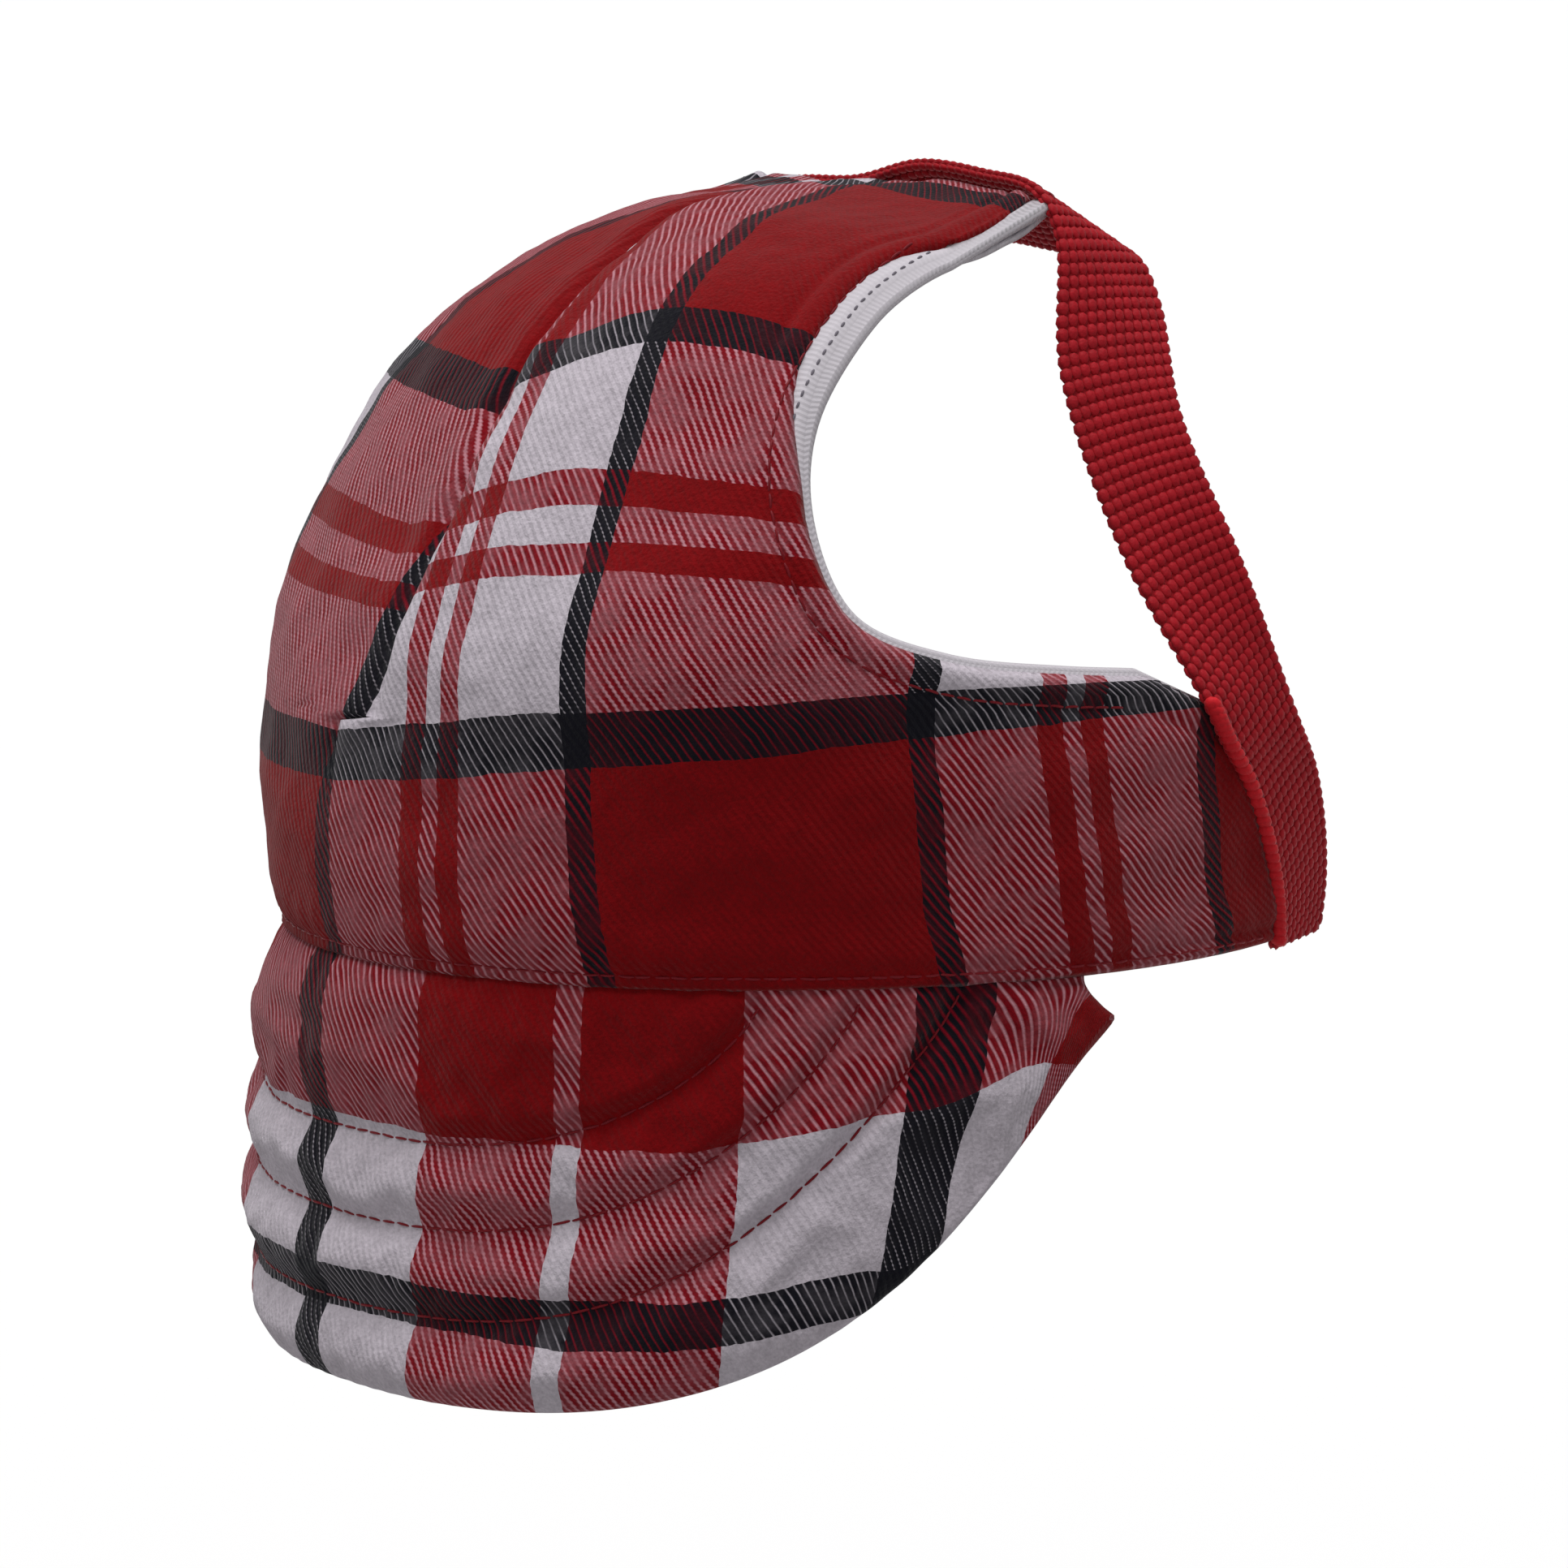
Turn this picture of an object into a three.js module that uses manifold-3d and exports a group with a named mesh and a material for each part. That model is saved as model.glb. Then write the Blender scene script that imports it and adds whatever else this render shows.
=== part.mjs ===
// A soft cap for a large dog: a plaid flannel crown with two ear openings, a quilted visor that
// hangs from the front of the band, and one webbing strap that closes the back of the crown.
// Millimetres, +Z up, front towards -Y, the cap's left side towards +X.
// The origin is the middle of the oval head opening, level with the band's lower edge.

import * as THREE from "three";
import { mergeVertices } from "three/addons/utils/BufferGeometryUtils.js";
import Module from "manifold-3d";

const wasm = await Module();
wasm.setup();

// ---- Driving dimensions ------------------------------------------------------------------

// Head oval and crown
const HEAD_WIDTH = 146; // across the oval, over the cloth
const HEAD_LENGTH = 168; // front to back of the same oval
const BAND_HEIGHT = 43; // hem to the lower side of the ear openings
const CROWN_HEIGHT = 112; // hem to the crown's rear edge
const CROWN_DEPTH = 97; // front of the band to the crown's rear edge
const REAR_EDGE = 92; // length of the crown's rear edge, corner to corner
const SQUARENESS = 0.8; // how much blunter than an ellipse the dome's plan is at mid height
const BAND_END_HEM = THREE.MathUtils.degToRad(116); // angle from the front where the band ends
const BAND_END_TOP = THREE.MathUtils.degToRad(103.5);
const CORNER_TURN = THREE.MathUtils.degToRad(72); // where the cloth ends at the rear edge

// Ear openings, seen from the side
const EAR_FRONT = 43.5; // front of the band to the front of the opening

// Cloth layers, outside to inside
const FLANNEL = 1.6;
const INTERLINING = 0.8;
const LINING = 1;
const TAPE = 0.8;
const BINDING = 1.2; // knit strip turned round the edge of each ear opening
const TAPE_HEIGHT = 9;
const INTERLINING_START = 4; // hem to the interlining's lower edge
const INTERLINING_TOP = 84; // hem to its upper edge
const INTERLINING_WIDTH = 54; // from the middle of the front to its lower side corner
const INTERLINING_TOP_WIDTH = 34;
const DART_GAP = 3; // between the two interlinings, where the dart's fold lies

// Strap
const STRAP_WIDTH = 20;
const STRAP_THICKNESS = 1.4;
const STRAP_SAG = 7; // how far the free stretch hangs in between band and crown
const STRAP_TILT = THREE.MathUtils.degToRad(38); // slope of its face, back and down, at the crown

// Visor
const VISOR_DEPTH = 62.5; // seam to edge at the front
const VISOR_END_DEPTH = 3; // at the two ends of the seam
const VISOR_HALF_SPREAD = THREE.MathUtils.degToRad(91);
const VISOR_ROUNDNESS = 4.2; // how flat the middle of the visor's edge is
const VISOR_TAPER = 1.12; // how straight the edge runs up to the two ends
const VISOR_FLARE = 3.5; // how far the edge stands out from the oval
const VISOR_FOAM = 2;

// Stitching
const THREAD_RADIUS = 0.35;
const HEM_STITCH_HEIGHT = 2.6;
const EAR_STITCH_INSET = 5;
const STRAP_STITCH_INSET = 2.6;
const HEM_STITCH_END = 0.05; // turn left unsewn at each end of the hem
const DART_STITCH_SPAN = [0.16, 0.93]; // shares of the crown's height at its two ends
const VISOR_ROW_LIFT = 0.04; // share of the depth at which each row starts, below the seam
const STRAP_ROW_SPAN = [0.3, 4.5]; // stations between which the strap is sewn to the band
const VISOR_ROWS = [0.35, 0.55, 0.76]; // share of the visor's depth at each row
const VISOR_ROW_ROUNDNESS = 3.6;
const VISOR_ROW_TAPER = 0.78; // how straight each row runs up to its two ends
const VISOR_ROW_SPREAD = [0.6, 0.715, 0.83]; // share of the seam that each row spans

// Clearances between neighbouring pieces
const GAP = 0.3;
const SEAM_GAP = 0.4;

// Facets
const CROWN_ROWS = 16;
const CROWN_COLUMNS = 34;
const VISOR_ROWS_OF_FACETS = 6;
const VISOR_COLUMNS = 32;
const STRAP_STEPS = 56;
const EAR_STEPS = 22;
const HEM_THREAD_STEPS = 48;
const EAR_THREAD_STEPS = 36;
const DART_THREAD_STEPS = 20;
const VISOR_THREAD_STEPS = 36;
const BAND_ROW_STEPS = 10;
const CROWN_ROW_STEPS = 14;
const CUTTER_REACH = 30; // how far cutters run past the cloth

// ---- Materials ---------------------------------------------------------------------------

const cloth = (color, roughness) => new THREE.MeshStandardMaterial({ color, roughness, metalness: 0 });
const plaidFlannel = cloth(0xa3182a, 0.95);
const whiteKnit = cloth(0xbdb8c2, 0.95);
const stiffInterlining = cloth(0xe6e2da, 0.9);
const visorFoam = cloth(0xd9d6cf, 0.85);
const redWebbing = cloth(0xb8161d, 0.7);
const redThread = cloth(0xb5162c, 0.6);

// ---- The cap's curves --------------------------------------------------------------------

const front = (y) => y - HEAD_LENGTH / 2; // a distance from the front of the band, as a Y place
const rise = CROWN_HEIGHT - BAND_HEIGHT;
const spline = (points) => new THREE.CatmullRomCurve3(points, false, "centripetal");

// Middle of the front, from the hem over the dome to the rear edge. Above the band each point is
// a share of the crown's depth and of its rise above the band.
const FRONT_DOME = [
  [0.055, 0.11], [0.14, 0.31], [0.235, 0.53], [0.33, 0.69],
  [0.45, 0.83], [0.61, 0.935], [0.81, 0.985], [1, 1],
];
const frontCurve = spline([
  new THREE.Vector3(0, front(0), 0),
  new THREE.Vector3(0, front(-2), BAND_HEIGHT * 0.33),
  new THREE.Vector3(0, front(0.5), BAND_HEIGHT * 0.76),
  ...FRONT_DOME.map(([y, z]) => (
    new THREE.Vector3(0, front(y * CROWN_DEPTH), BAND_HEIGHT + z * rise)
  )),
]);

// Widest line of the left side. Above the band each point is a share of the way in from the
// head oval to the corner of the rear edge, of the way back to it, and of the rise.
const SIDE_DOME = [[0.18, 0.2, 0.26], [0.42, 0.5, 0.55], [0.71, 0.8, 0.82], [1, 1, 0.985]];
const sideCurve = spline([
  new THREE.Vector3(HEAD_WIDTH / 2, 0, 0),
  new THREE.Vector3(HEAD_WIDTH / 2 + 0.5, 0, BAND_HEIGHT * 0.47),
  new THREE.Vector3(HEAD_WIDTH / 2 - 1, 0, BAND_HEIGHT),
  ...SIDE_DOME.map(([x, y, z]) => new THREE.Vector3(
    THREE.MathUtils.lerp(HEAD_WIDTH / 2 - 1, REAR_EDGE / 2, x),
    y * front(CROWN_DEPTH),
    BAND_HEIGHT + z * rise,
  )),
]);

/** Outer face of the crown: rise 0 to 1 from hem to rear edge, turn from the front to the left. */
function crownPoint(height, turn) {
  const middle = frontCurve.getPointAt(height);
  const side = sideCurve.getPointAt(height);
  const power = 2 + SQUARENESS * Math.sin(Math.PI * height) ** 2;
  const c = Math.cos(turn);
  const s = Math.sin(turn);
  const reach = (Math.abs(c) ** power + Math.abs(s) ** power) ** (-1 / power);
  const back = 1 - reach * c;
  return new THREE.Vector3(
    side.x * reach * s,
    THREE.MathUtils.lerp(middle.y, side.y, back),
    THREE.MathUtils.lerp(middle.z, side.z, back),
  );
}

/** Turn at which the band ends, for a height above the hem. */
function bandEnd(z) {
  const share = THREE.MathUtils.clamp(z / BAND_HEIGHT, 0, 1);
  return THREE.MathUtils.lerp(BAND_END_HEM, BAND_END_TOP, share);
}

/** Share of the way up the crown at which its widest line reaches a height above the hem. */
function shareAt(z) {
  let low = 0;
  let high = 1;
  for (let i = 0; i < 30; i += 1) {
    const middle = (low + high) / 2;
    if (sideCurve.getPointAt(middle).z < z) {
      low = middle;
    } else {
      high = middle;
    }
  }
  return low;
}

/** Outward direction of the crown's face. */
function crownNormal(height, turn) {
  const step = 0.002;
  const low = crownPoint(Math.max(height - step, 0), turn);
  const high = crownPoint(Math.min(height + step, 1), turn);
  const right = crownPoint(height, turn - step);
  const left = crownPoint(height, turn + step);
  return left.sub(right).cross(high.sub(low)).normalize();
}

/** Height and turn of the left side's point at a given y and z, by Newton's method. */
function crownAt(y, z) {
  const step = 1e-4;
  let height = THREE.MathUtils.clamp(z / CROWN_HEIGHT, 0.05, 0.9);
  let turn = 1.2;
  for (let i = 0; i < 40; i += 1) {
    const p = crownPoint(height, turn);
    const up = crownPoint(height + step, turn).sub(p).divideScalar(step);
    const round = crownPoint(height, turn + step).sub(p).divideScalar(step);
    const det = up.y * round.z - up.z * round.y;
    height += (round.z * (y - p.y) - round.y * (z - p.z)) / det;
    turn += (up.y * (z - p.z) - up.z * (y - p.y)) / det;
    height = THREE.MathUtils.clamp(height, 0.01, 0.99);
    turn = THREE.MathUtils.clamp(turn, 0.2, 2);
  }
  return [height, turn];
}

/** Outer face of the visor: depth 0 to 1 from seam to edge, across -1 to 1 from right to left. */
function visorPoint(depth, across) {
  const turn = across * VISOR_HALF_SPREAD;
  const reach = (1 - Math.abs(across) ** VISOR_ROUNDNESS) ** VISOR_TAPER;
  const drop = VISOR_END_DEPTH + (VISOR_DEPTH - VISOR_END_DEPTH) * reach;
  const flare = VISOR_FLARE * depth ** 1.5;
  return new THREE.Vector3(
    (HEAD_WIDTH / 2 + flare) * Math.sin(turn),
    -(HEAD_LENGTH / 2 + flare) * Math.cos(turn),
    -GAP - depth * (drop - GAP),
  );
}

// ---- Solids from surfaces ----------------------------------------------------------------

/**
 * Closed sheet between two offsets of a surface. The surface takes two shares, up and across,
 * and its outward side is across x up.
 */
function sheetGeometry(surface, rows, columns, inner, outer) {
  const grid = [];
  for (let i = 0; i <= rows; i += 1) {
    for (let j = 0; j <= columns; j += 1) {
      grid.push(surface(i / rows, j / columns));
    }
  }
  const id = (i, j) => i * (columns + 1) + j;
  const face = [];
  for (let i = 0; i < rows; i += 1) {
    for (let j = 0; j < columns; j += 1) {
      face.push([id(i, j), id(i, j + 1), id(i + 1, j)], [id(i, j + 1), id(i + 1, j + 1), id(i + 1, j)]);
    }
  }
  const flat = new THREE.BufferGeometry().setFromPoints(grid);
  flat.setIndex(face.flat());
  flat.computeVertexNormals();
  const normal = flat.getAttribute("normal");
  const moved = (offset) => grid.map((p, k) => (
    p.clone().addScaledVector(new THREE.Vector3().fromBufferAttribute(normal, k), offset)
  ));
  const count = grid.length;
  const rim = [];
  for (let j = 0; j < columns; j += 1) {
    rim.push([id(0, j), id(0, j + 1)], [id(rows, j + 1), id(rows, j)]);
  }
  for (let i = 0; i < rows; i += 1) {
    rim.push([id(i, columns), id(i + 1, columns)], [id(i + 1, 0), id(i, 0)]);
  }
  const index = [
    ...face.flat(),
    ...face.flatMap(([a, b, c]) => [a + count, c + count, b + count]),
    ...rim.flatMap(([p, q]) => [q, p, p + count, q, p + count, q + count]),
  ];
  const geometry = new THREE.BufferGeometry().setFromPoints([...moved(outer), ...moved(inner)]);
  geometry.setIndex(index);
  return geometry;
}

/** Manifold solid of a closed geometry. */
function solidOf(geometry) {
  const bare = geometry.clone();
  bare.deleteAttribute("normal");
  bare.deleteAttribute("uv");
  const merged = mergeVertices(bare, 1e-5);
  return new wasm.Manifold(new wasm.Mesh({
    numProp: 3,
    vertProperties: new Float32Array(merged.getAttribute("position").array),
    triVerts: new Uint32Array(merged.index.array),
  }));
}

/** three.js geometry of a Manifold solid. */
function geometryOf(solid) {
  const mesh = solid.getMesh();
  const geometry = new THREE.BufferGeometry();
  geometry.setAttribute("position", new THREE.BufferAttribute(mesh.vertProperties, 3));
  geometry.setIndex(new THREE.BufferAttribute(mesh.triVerts, 1));
  return geometry;
}

const alongX = new THREE.Vector3(1, 0, 0);
const alongY = new THREE.Vector3(0, 1, 0);
const alongZ = new THREE.Vector3(0, 0, 1);

/** Prism of an outline drawn on two axes, between two places along the third. */
function prismOf(outline, from, to, axes) {
  const shape = new THREE.Shape(outline.map(([a, b]) => new THREE.Vector2(a, b)));
  const prism = new THREE.ExtrudeGeometry(shape, { depth: to - from, bevelEnabled: false });
  prism.translate(0, 0, from);
  prism.applyMatrix4(new THREE.Matrix4().makeBasis(...axes));
  return solidOf(prism);
}

/** Prism of a side-view outline, a list of [y, z]. */
const sidePrism = (outline, from, to) => prismOf(outline, from, to, [alongY, alongZ, alongX]);

/** Prism of a front-view outline, a list of [x, z], from the front back to the middle. */
const frontPrism = (outline) => (
  prismOf(outline, 0, HEAD_LENGTH / 2 + CUTTER_REACH, [alongX, alongZ, alongY.clone().negate()])
);

/** Round thread along a list of points. */
function threadGeometry(points, steps) {
  const sides = 5;
  const section = new THREE.Shape(Array.from({ length: sides }, (_, k) => {
    const angle = (2 * Math.PI * k) / sides;
    return new THREE.Vector2(THREAD_RADIUS * Math.cos(angle), THREAD_RADIUS * Math.sin(angle));
  }));
  return new THREE.ExtrudeGeometry(section, { steps, bevelEnabled: false, extrudePath: spline(points) });
}

const range = (from, to, count) => (
  Array.from({ length: count + 1 }, (_, k) => THREE.MathUtils.lerp(from, to, k / count))
);

// ---- Crown -------------------------------------------------------------------------------

/** Surface of the crown and its bands: the columns stop at the band's slanted end. */
function crownSurface(up, across) {
  const { z } = sideCurve.getPointAt(up);
  const above = THREE.MathUtils.clamp((z - BAND_HEIGHT) / rise, 0, 1);
  const limit = THREE.MathUtils.lerp(bandEnd(z), CORNER_TURN, above);
  return crownPoint(up, THREE.MathUtils.lerp(-limit, limit, across));
}

// Front edge of the ear opening in side view, from the crown's rear corner down and round to
// the band's upper edge: shares of the way back from EAR_FRONT, and of the rise over the band.
const EAR_CURVE = [
  [1, 0.941], [0.68, 0.888], [0.35, 0.771], [0.09, 0.575], [0, 0.365],
  [0.07, 0.16], [0.34, 0.065], [0.71, 0.024], [1.1, 0],
];

/** Ear opening's front edge, moved a distance into the opening. */
function earEdge(inset) {
  const deep = CROWN_DEPTH - EAR_FRONT;
  const curve = new THREE.SplineCurve(EAR_CURVE.map(([y, z]) => (
    new THREE.Vector2(front(EAR_FRONT + y * deep), BAND_HEIGHT + z * rise)
  )));
  return range(0, 1, EAR_STEPS).map((share) => {
    const point = curve.getPoint(share);
    const along = curve.getTangent(share);
    return [point.x - along.y * inset, point.y + along.x * inset];
  });
}

/** Everything behind the ear opening's edge, above the band. */
function earOutline(inset) {
  const back = front(CROWN_DEPTH) + CUTTER_REACH * 2;
  const top = CROWN_HEIGHT + CUTTER_REACH;
  const edge = earEdge(inset);
  const first = edge[0];
  const last = edge[edge.length - 1];
  return [[first[0], top], ...edge, [back, last[1]], [back, top]];
}

const reachX = HEAD_WIDTH / 2 + CUTTER_REACH;
const earCutter = sidePrism(earOutline(0), -reachX, reachX);

/** One layer of the crown's cloth between two depths below the outer face. */
function crownLayer(shallow, deep) {
  const sheet = sheetGeometry(crownSurface, CROWN_ROWS, CROWN_COLUMNS, -deep, -shallow);
  return solidOf(sheet).subtract(earCutter);
}

const interliningDepth = FLANNEL + GAP;
const liningDepth = interliningDepth + INTERLINING + GAP;
const tapeDepth = liningDepth + LINING + GAP;
const frontLength = frontCurve.getLength();

/** One of the two stiff pieces behind the front, beside the dart. */
function interliningGeometry(side) {
  const outline = [
    [DART_GAP / 2, INTERLINING_START],
    [INTERLINING_WIDTH, INTERLINING_START],
    [INTERLINING_TOP_WIDTH, INTERLINING_TOP],
    [DART_GAP / 2, INTERLINING_TOP],
  ].map(([x, z]) => [side * x, z]);
  const layer = crownLayer(interliningDepth, interliningDepth + INTERLINING);
  return geometryOf(layer.intersect(frontPrism(outline)));
}

/** Knit strip round one ear opening's edge, covering all the layers' cut edges. */
function bindingGeometry(side) {
  const outside = earEdge(GAP).slice(1);
  const inside = earEdge(GAP + BINDING).slice(1);
  const strip = [...outside, ...inside.reverse()];
  const ring = side > 0 ? sidePrism(strip, 1, reachX) : sidePrism(strip, -reachX, -1);
  const wall = sheetGeometry(crownSurface, CROWN_ROWS, CROWN_COLUMNS, -liningDepth - LINING, 0);
  return geometryOf(solidOf(wall).intersect(ring));
}

/** Tape inside the hem, over the visor's seam. */
function tapeGeometry() {
  const far = HEAD_LENGTH;
  const strip = [[-far, 1], [far, 1], [far, 1 + TAPE_HEIGHT], [-far, 1 + TAPE_HEIGHT]];
  const layer = crownLayer(tapeDepth, tapeDepth + TAPE);
  return geometryOf(layer.intersect(sidePrism(strip, -reachX, reachX)));
}

// ---- Strap -------------------------------------------------------------------------------

// Shares of the band's height at the strap's stations along its seam with the band.
const BAND_SHARES = [-0.02, 0.2, 0.45, 0.7, 0.9, 1.03];
const TOP_STATION = BAND_SHARES.length + 3; // where the strap has turned over the crown's corner

/** Stations of the strap's left half: front edge and direction across the strap. */
function strapStations() {
  const stations = [];
  for (const share of BAND_SHARES) {
    const z = share * BAND_HEIGHT;
    const turn = bandEnd(z);
    const height = shareAt(z);
    const edge = crownPoint(height, turn).setZ(z);
    const along = crownPoint(height, turn + 0.01).sub(edge).setZ(0).normalize();
    stations.push({ edge: edge.addScaledVector(along, SEAM_GAP), across: along });
  }
  const corner = new THREE.Vector3(REAR_EDGE / 2, front(CROWN_DEPTH) + SEAM_GAP, CROWN_HEIGHT);
  const bandTop = stations[stations.length - 1];
  const backwards = new THREE.Vector3(0, Math.cos(STRAP_TILT), -Math.sin(STRAP_TILT));
  for (const share of [0.3, 0.65]) {
    const edge = bandTop.edge.clone().lerp(corner, share);
    const sag = STRAP_SAG * Math.sin(Math.PI * share);
    edge.add(new THREE.Vector3(-0.5, -0.85, 0).multiplyScalar(sag));
    stations.push({ edge, across: bandTop.across.clone().lerp(backwards, share).normalize() });
  }
  const turnRadius = 5;
  const top = (x, y, z) => stations.push({ edge: new THREE.Vector3(x, y, z), across: backwards });
  top(corner.x + 1.5, corner.y + 1, corner.z - turnRadius);
  top(corner.x + 1.5 - turnRadius, corner.y + SEAM_GAP, corner.z + 1);
  top(corner.x * 0.6, corner.y, corner.z + 1.5);
  top(corner.x * 0.2, corner.y, corner.z + 1.8);
  return stations;
}

const leftStations = strapStations();
const mirrored = leftStations.map(({ edge, across }) => ({
  edge: edge.clone().multiply(new THREE.Vector3(-1, 1, 1)),
  across: across.clone().multiply(new THREE.Vector3(-1, 1, 1)),
})).reverse();
const stations = [...leftStations, ...mirrored];
const strapFront = spline(stations.map(({ edge }) => edge));
const strapRear = spline(stations.map(({ edge, across }) => (
  edge.clone().addScaledVector(across, STRAP_WIDTH)
)));

/** Run along the strap at a station, counted from the left band end. */
const runAt = (station) => station / (stations.length - 1);

/** Outer face of the strap: run 0 to 1 from the left band end over the top, width 0 to 1 back. */
function strapPoint(width, run) {
  return strapFront.getPoint(run).lerp(strapRear.getPoint(run), width);
}

function strapGeometry() {
  const surface = (up, across) => strapPoint(across, up);
  return sheetGeometry(surface, STRAP_STEPS, 2, -STRAP_THICKNESS, 0);
}

/** Line of stitching on the strap's outer face, near its front edge. */
function strapStitch(from, to, steps) {
  const inset = STRAP_STITCH_INSET / STRAP_WIDTH;
  const lift = GAP + THREAD_RADIUS;
  const points = range(from, to, steps).map((run) => {
    const here = strapPoint(inset, run);
    const along = strapPoint(inset, run + 0.002).sub(strapPoint(inset, run - 0.002));
    const across = strapPoint(1, run).sub(strapPoint(0, run));
    return here.addScaledVector(across.cross(along).normalize(), lift);
  });
  return threadGeometry(points, steps);
}

// ---- Stitching on the cloth --------------------------------------------------------------

const threadLift = GAP + THREAD_RADIUS;

function crownThread(path, steps) {
  return threadGeometry(path.map(([height, turn]) => (
    crownPoint(height, turn).addScaledVector(crownNormal(height, turn), threadLift)
  )), steps);
}

function hemStitch() {
  const height = HEM_STITCH_HEIGHT / frontLength;
  const limit = bandEnd(HEM_STITCH_HEIGHT) - HEM_STITCH_END;
  const turns = range(-limit, limit, HEM_THREAD_STEPS);
  return crownThread(turns.map((turn) => [height, turn]), HEM_THREAD_STEPS);
}

function earStitch(side) {
  const path = earEdge(-EAR_STITCH_INSET).slice(4, -2).map(([y, z]) => crownAt(y, z));
  return crownThread(path.map(([height, turn]) => [height, side * turn]), EAR_THREAD_STEPS);
}

/** Thread of the dart's seam, inside the cloth between the two interlinings. */
function dartStitch() {
  const inside = -(FLANNEL + GAP + THREAD_RADIUS);
  return threadGeometry(range(...DART_STITCH_SPAN, DART_THREAD_STEPS).map((height) => (
    crownPoint(height, 0).addScaledVector(crownNormal(height, 0), inside)
  )), DART_THREAD_STEPS);
}

function visorNormal(depth, across) {
  const step = 0.002;
  const down = visorPoint(depth + step, across).sub(visorPoint(depth - step, across));
  const round = visorPoint(depth, across + step).sub(visorPoint(depth, across - step));
  return down.cross(round).normalize();
}

function visorStitch(row) {
  const spread = VISOR_ROW_SPREAD[row];
  const points = range(-1, 1, VISOR_THREAD_STEPS).map((share) => {
    const reach = (1 - Math.abs(share) ** VISOR_ROW_ROUNDNESS) ** VISOR_ROW_TAPER;
    const depth = VISOR_ROWS[row] * reach + VISOR_ROW_LIFT;
    const across = share * spread;
    return visorPoint(depth, across).addScaledVector(visorNormal(depth, across), threadLift);
  });
  return threadGeometry(points, VISOR_THREAD_STEPS);
}

// ---- Visor -------------------------------------------------------------------------------

function visorLayer(shallow, deep) {
  const surface = (up, across) => visorPoint(1 - up, across * 2 - 1);
  return sheetGeometry(surface, VISOR_ROWS_OF_FACETS, VISOR_COLUMNS, -deep, -shallow);
}

const foamDepth = FLANNEL + GAP;
const underDepth = foamDepth + VISOR_FOAM + GAP;

// ---- Assembly ----------------------------------------------------------------------------

const cap = new THREE.Group();

function add(name, geometry, material) {
  const mesh = new THREE.Mesh(geometry, material);
  mesh.name = name;
  cap.add(mesh);
}

add("crown_shell", geometryOf(crownLayer(0, FLANNEL)), plaidFlannel);
add("crown_lining", geometryOf(crownLayer(liningDepth, liningDepth + LINING)), whiteKnit);
add("band_seam_tape", tapeGeometry(), whiteKnit);
for (const [name, side] of [["left", 1], ["right", -1]]) {
  add(`front_interlining_${name}`, interliningGeometry(side), stiffInterlining);
  add(`ear_binding_${name}`, bindingGeometry(side), whiteKnit);
  add(`ear_topstitch_${name}`, earStitch(side), redThread);
}
add("dart_seam_thread", dartStitch(), redThread);
add("band_hem_topstitch", hemStitch(), redThread);

add("rear_strap", strapGeometry(), redWebbing);
const [rowStart, rowEnd] = STRAP_ROW_SPAN.map(runAt);
add("strap_seam_left", strapStitch(rowStart, rowEnd, BAND_ROW_STEPS), redThread);
add("strap_seam_right", strapStitch(1 - rowEnd, 1 - rowStart, BAND_ROW_STEPS), redThread);
const topStart = runAt(TOP_STATION);
add("strap_seam_crown", strapStitch(topStart, 1 - topStart, CROWN_ROW_STEPS), redThread);

add("visor_top_cover", visorLayer(0, FLANNEL), plaidFlannel);
add("visor_foam", visorLayer(foamDepth, foamDepth + VISOR_FOAM), visorFoam);
add("visor_under_cover", visorLayer(underDepth, underDepth + FLANNEL), plaidFlannel);
VISOR_ROWS.forEach((_, row) => add(`visor_quilt_row_${row + 1}`, visorStitch(row), redThread));

export default cap;
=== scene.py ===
# %% [markdown]
# # A soft plaid cap for a large dog
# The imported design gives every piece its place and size. This lesson builds what the eye sees
# around it: brushed plaid flannel, a white knit lining, a quilted visor, ribbed webbing and the
# stitches that hold them together. Each step says what the piece is, how it could be made, and
# why this way was chosen. All lengths are in millimetres until a mesh is made.

import math

import bmesh
import bpy
import numpy as np
from mathutils import Matrix, Vector, kdtree
from mathutils.bvhtree import BVHTree


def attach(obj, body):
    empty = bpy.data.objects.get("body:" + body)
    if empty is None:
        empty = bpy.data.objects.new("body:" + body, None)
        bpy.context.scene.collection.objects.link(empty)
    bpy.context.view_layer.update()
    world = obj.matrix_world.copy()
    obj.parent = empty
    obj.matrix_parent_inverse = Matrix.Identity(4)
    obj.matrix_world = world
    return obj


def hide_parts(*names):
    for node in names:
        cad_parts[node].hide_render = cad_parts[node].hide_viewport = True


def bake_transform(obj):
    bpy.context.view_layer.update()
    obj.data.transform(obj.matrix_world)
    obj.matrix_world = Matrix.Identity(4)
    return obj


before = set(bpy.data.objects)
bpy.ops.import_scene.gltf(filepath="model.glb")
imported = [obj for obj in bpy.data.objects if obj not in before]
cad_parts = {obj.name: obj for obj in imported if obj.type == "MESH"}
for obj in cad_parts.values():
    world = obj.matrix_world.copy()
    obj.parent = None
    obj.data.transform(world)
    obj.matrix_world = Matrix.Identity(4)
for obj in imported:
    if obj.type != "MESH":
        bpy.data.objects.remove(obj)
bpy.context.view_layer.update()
MM = 0.001


# %% [markdown]
# ## The cap's form
# The crown is a dome of cloth over a head-sized oval. It could be sculpted, but every layer,
# stitch and stripe has to follow the same face, so the face is written as a formula: a curve up
# the middle of the front, a curve up the side, and an oval that joins them at each height.

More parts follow.
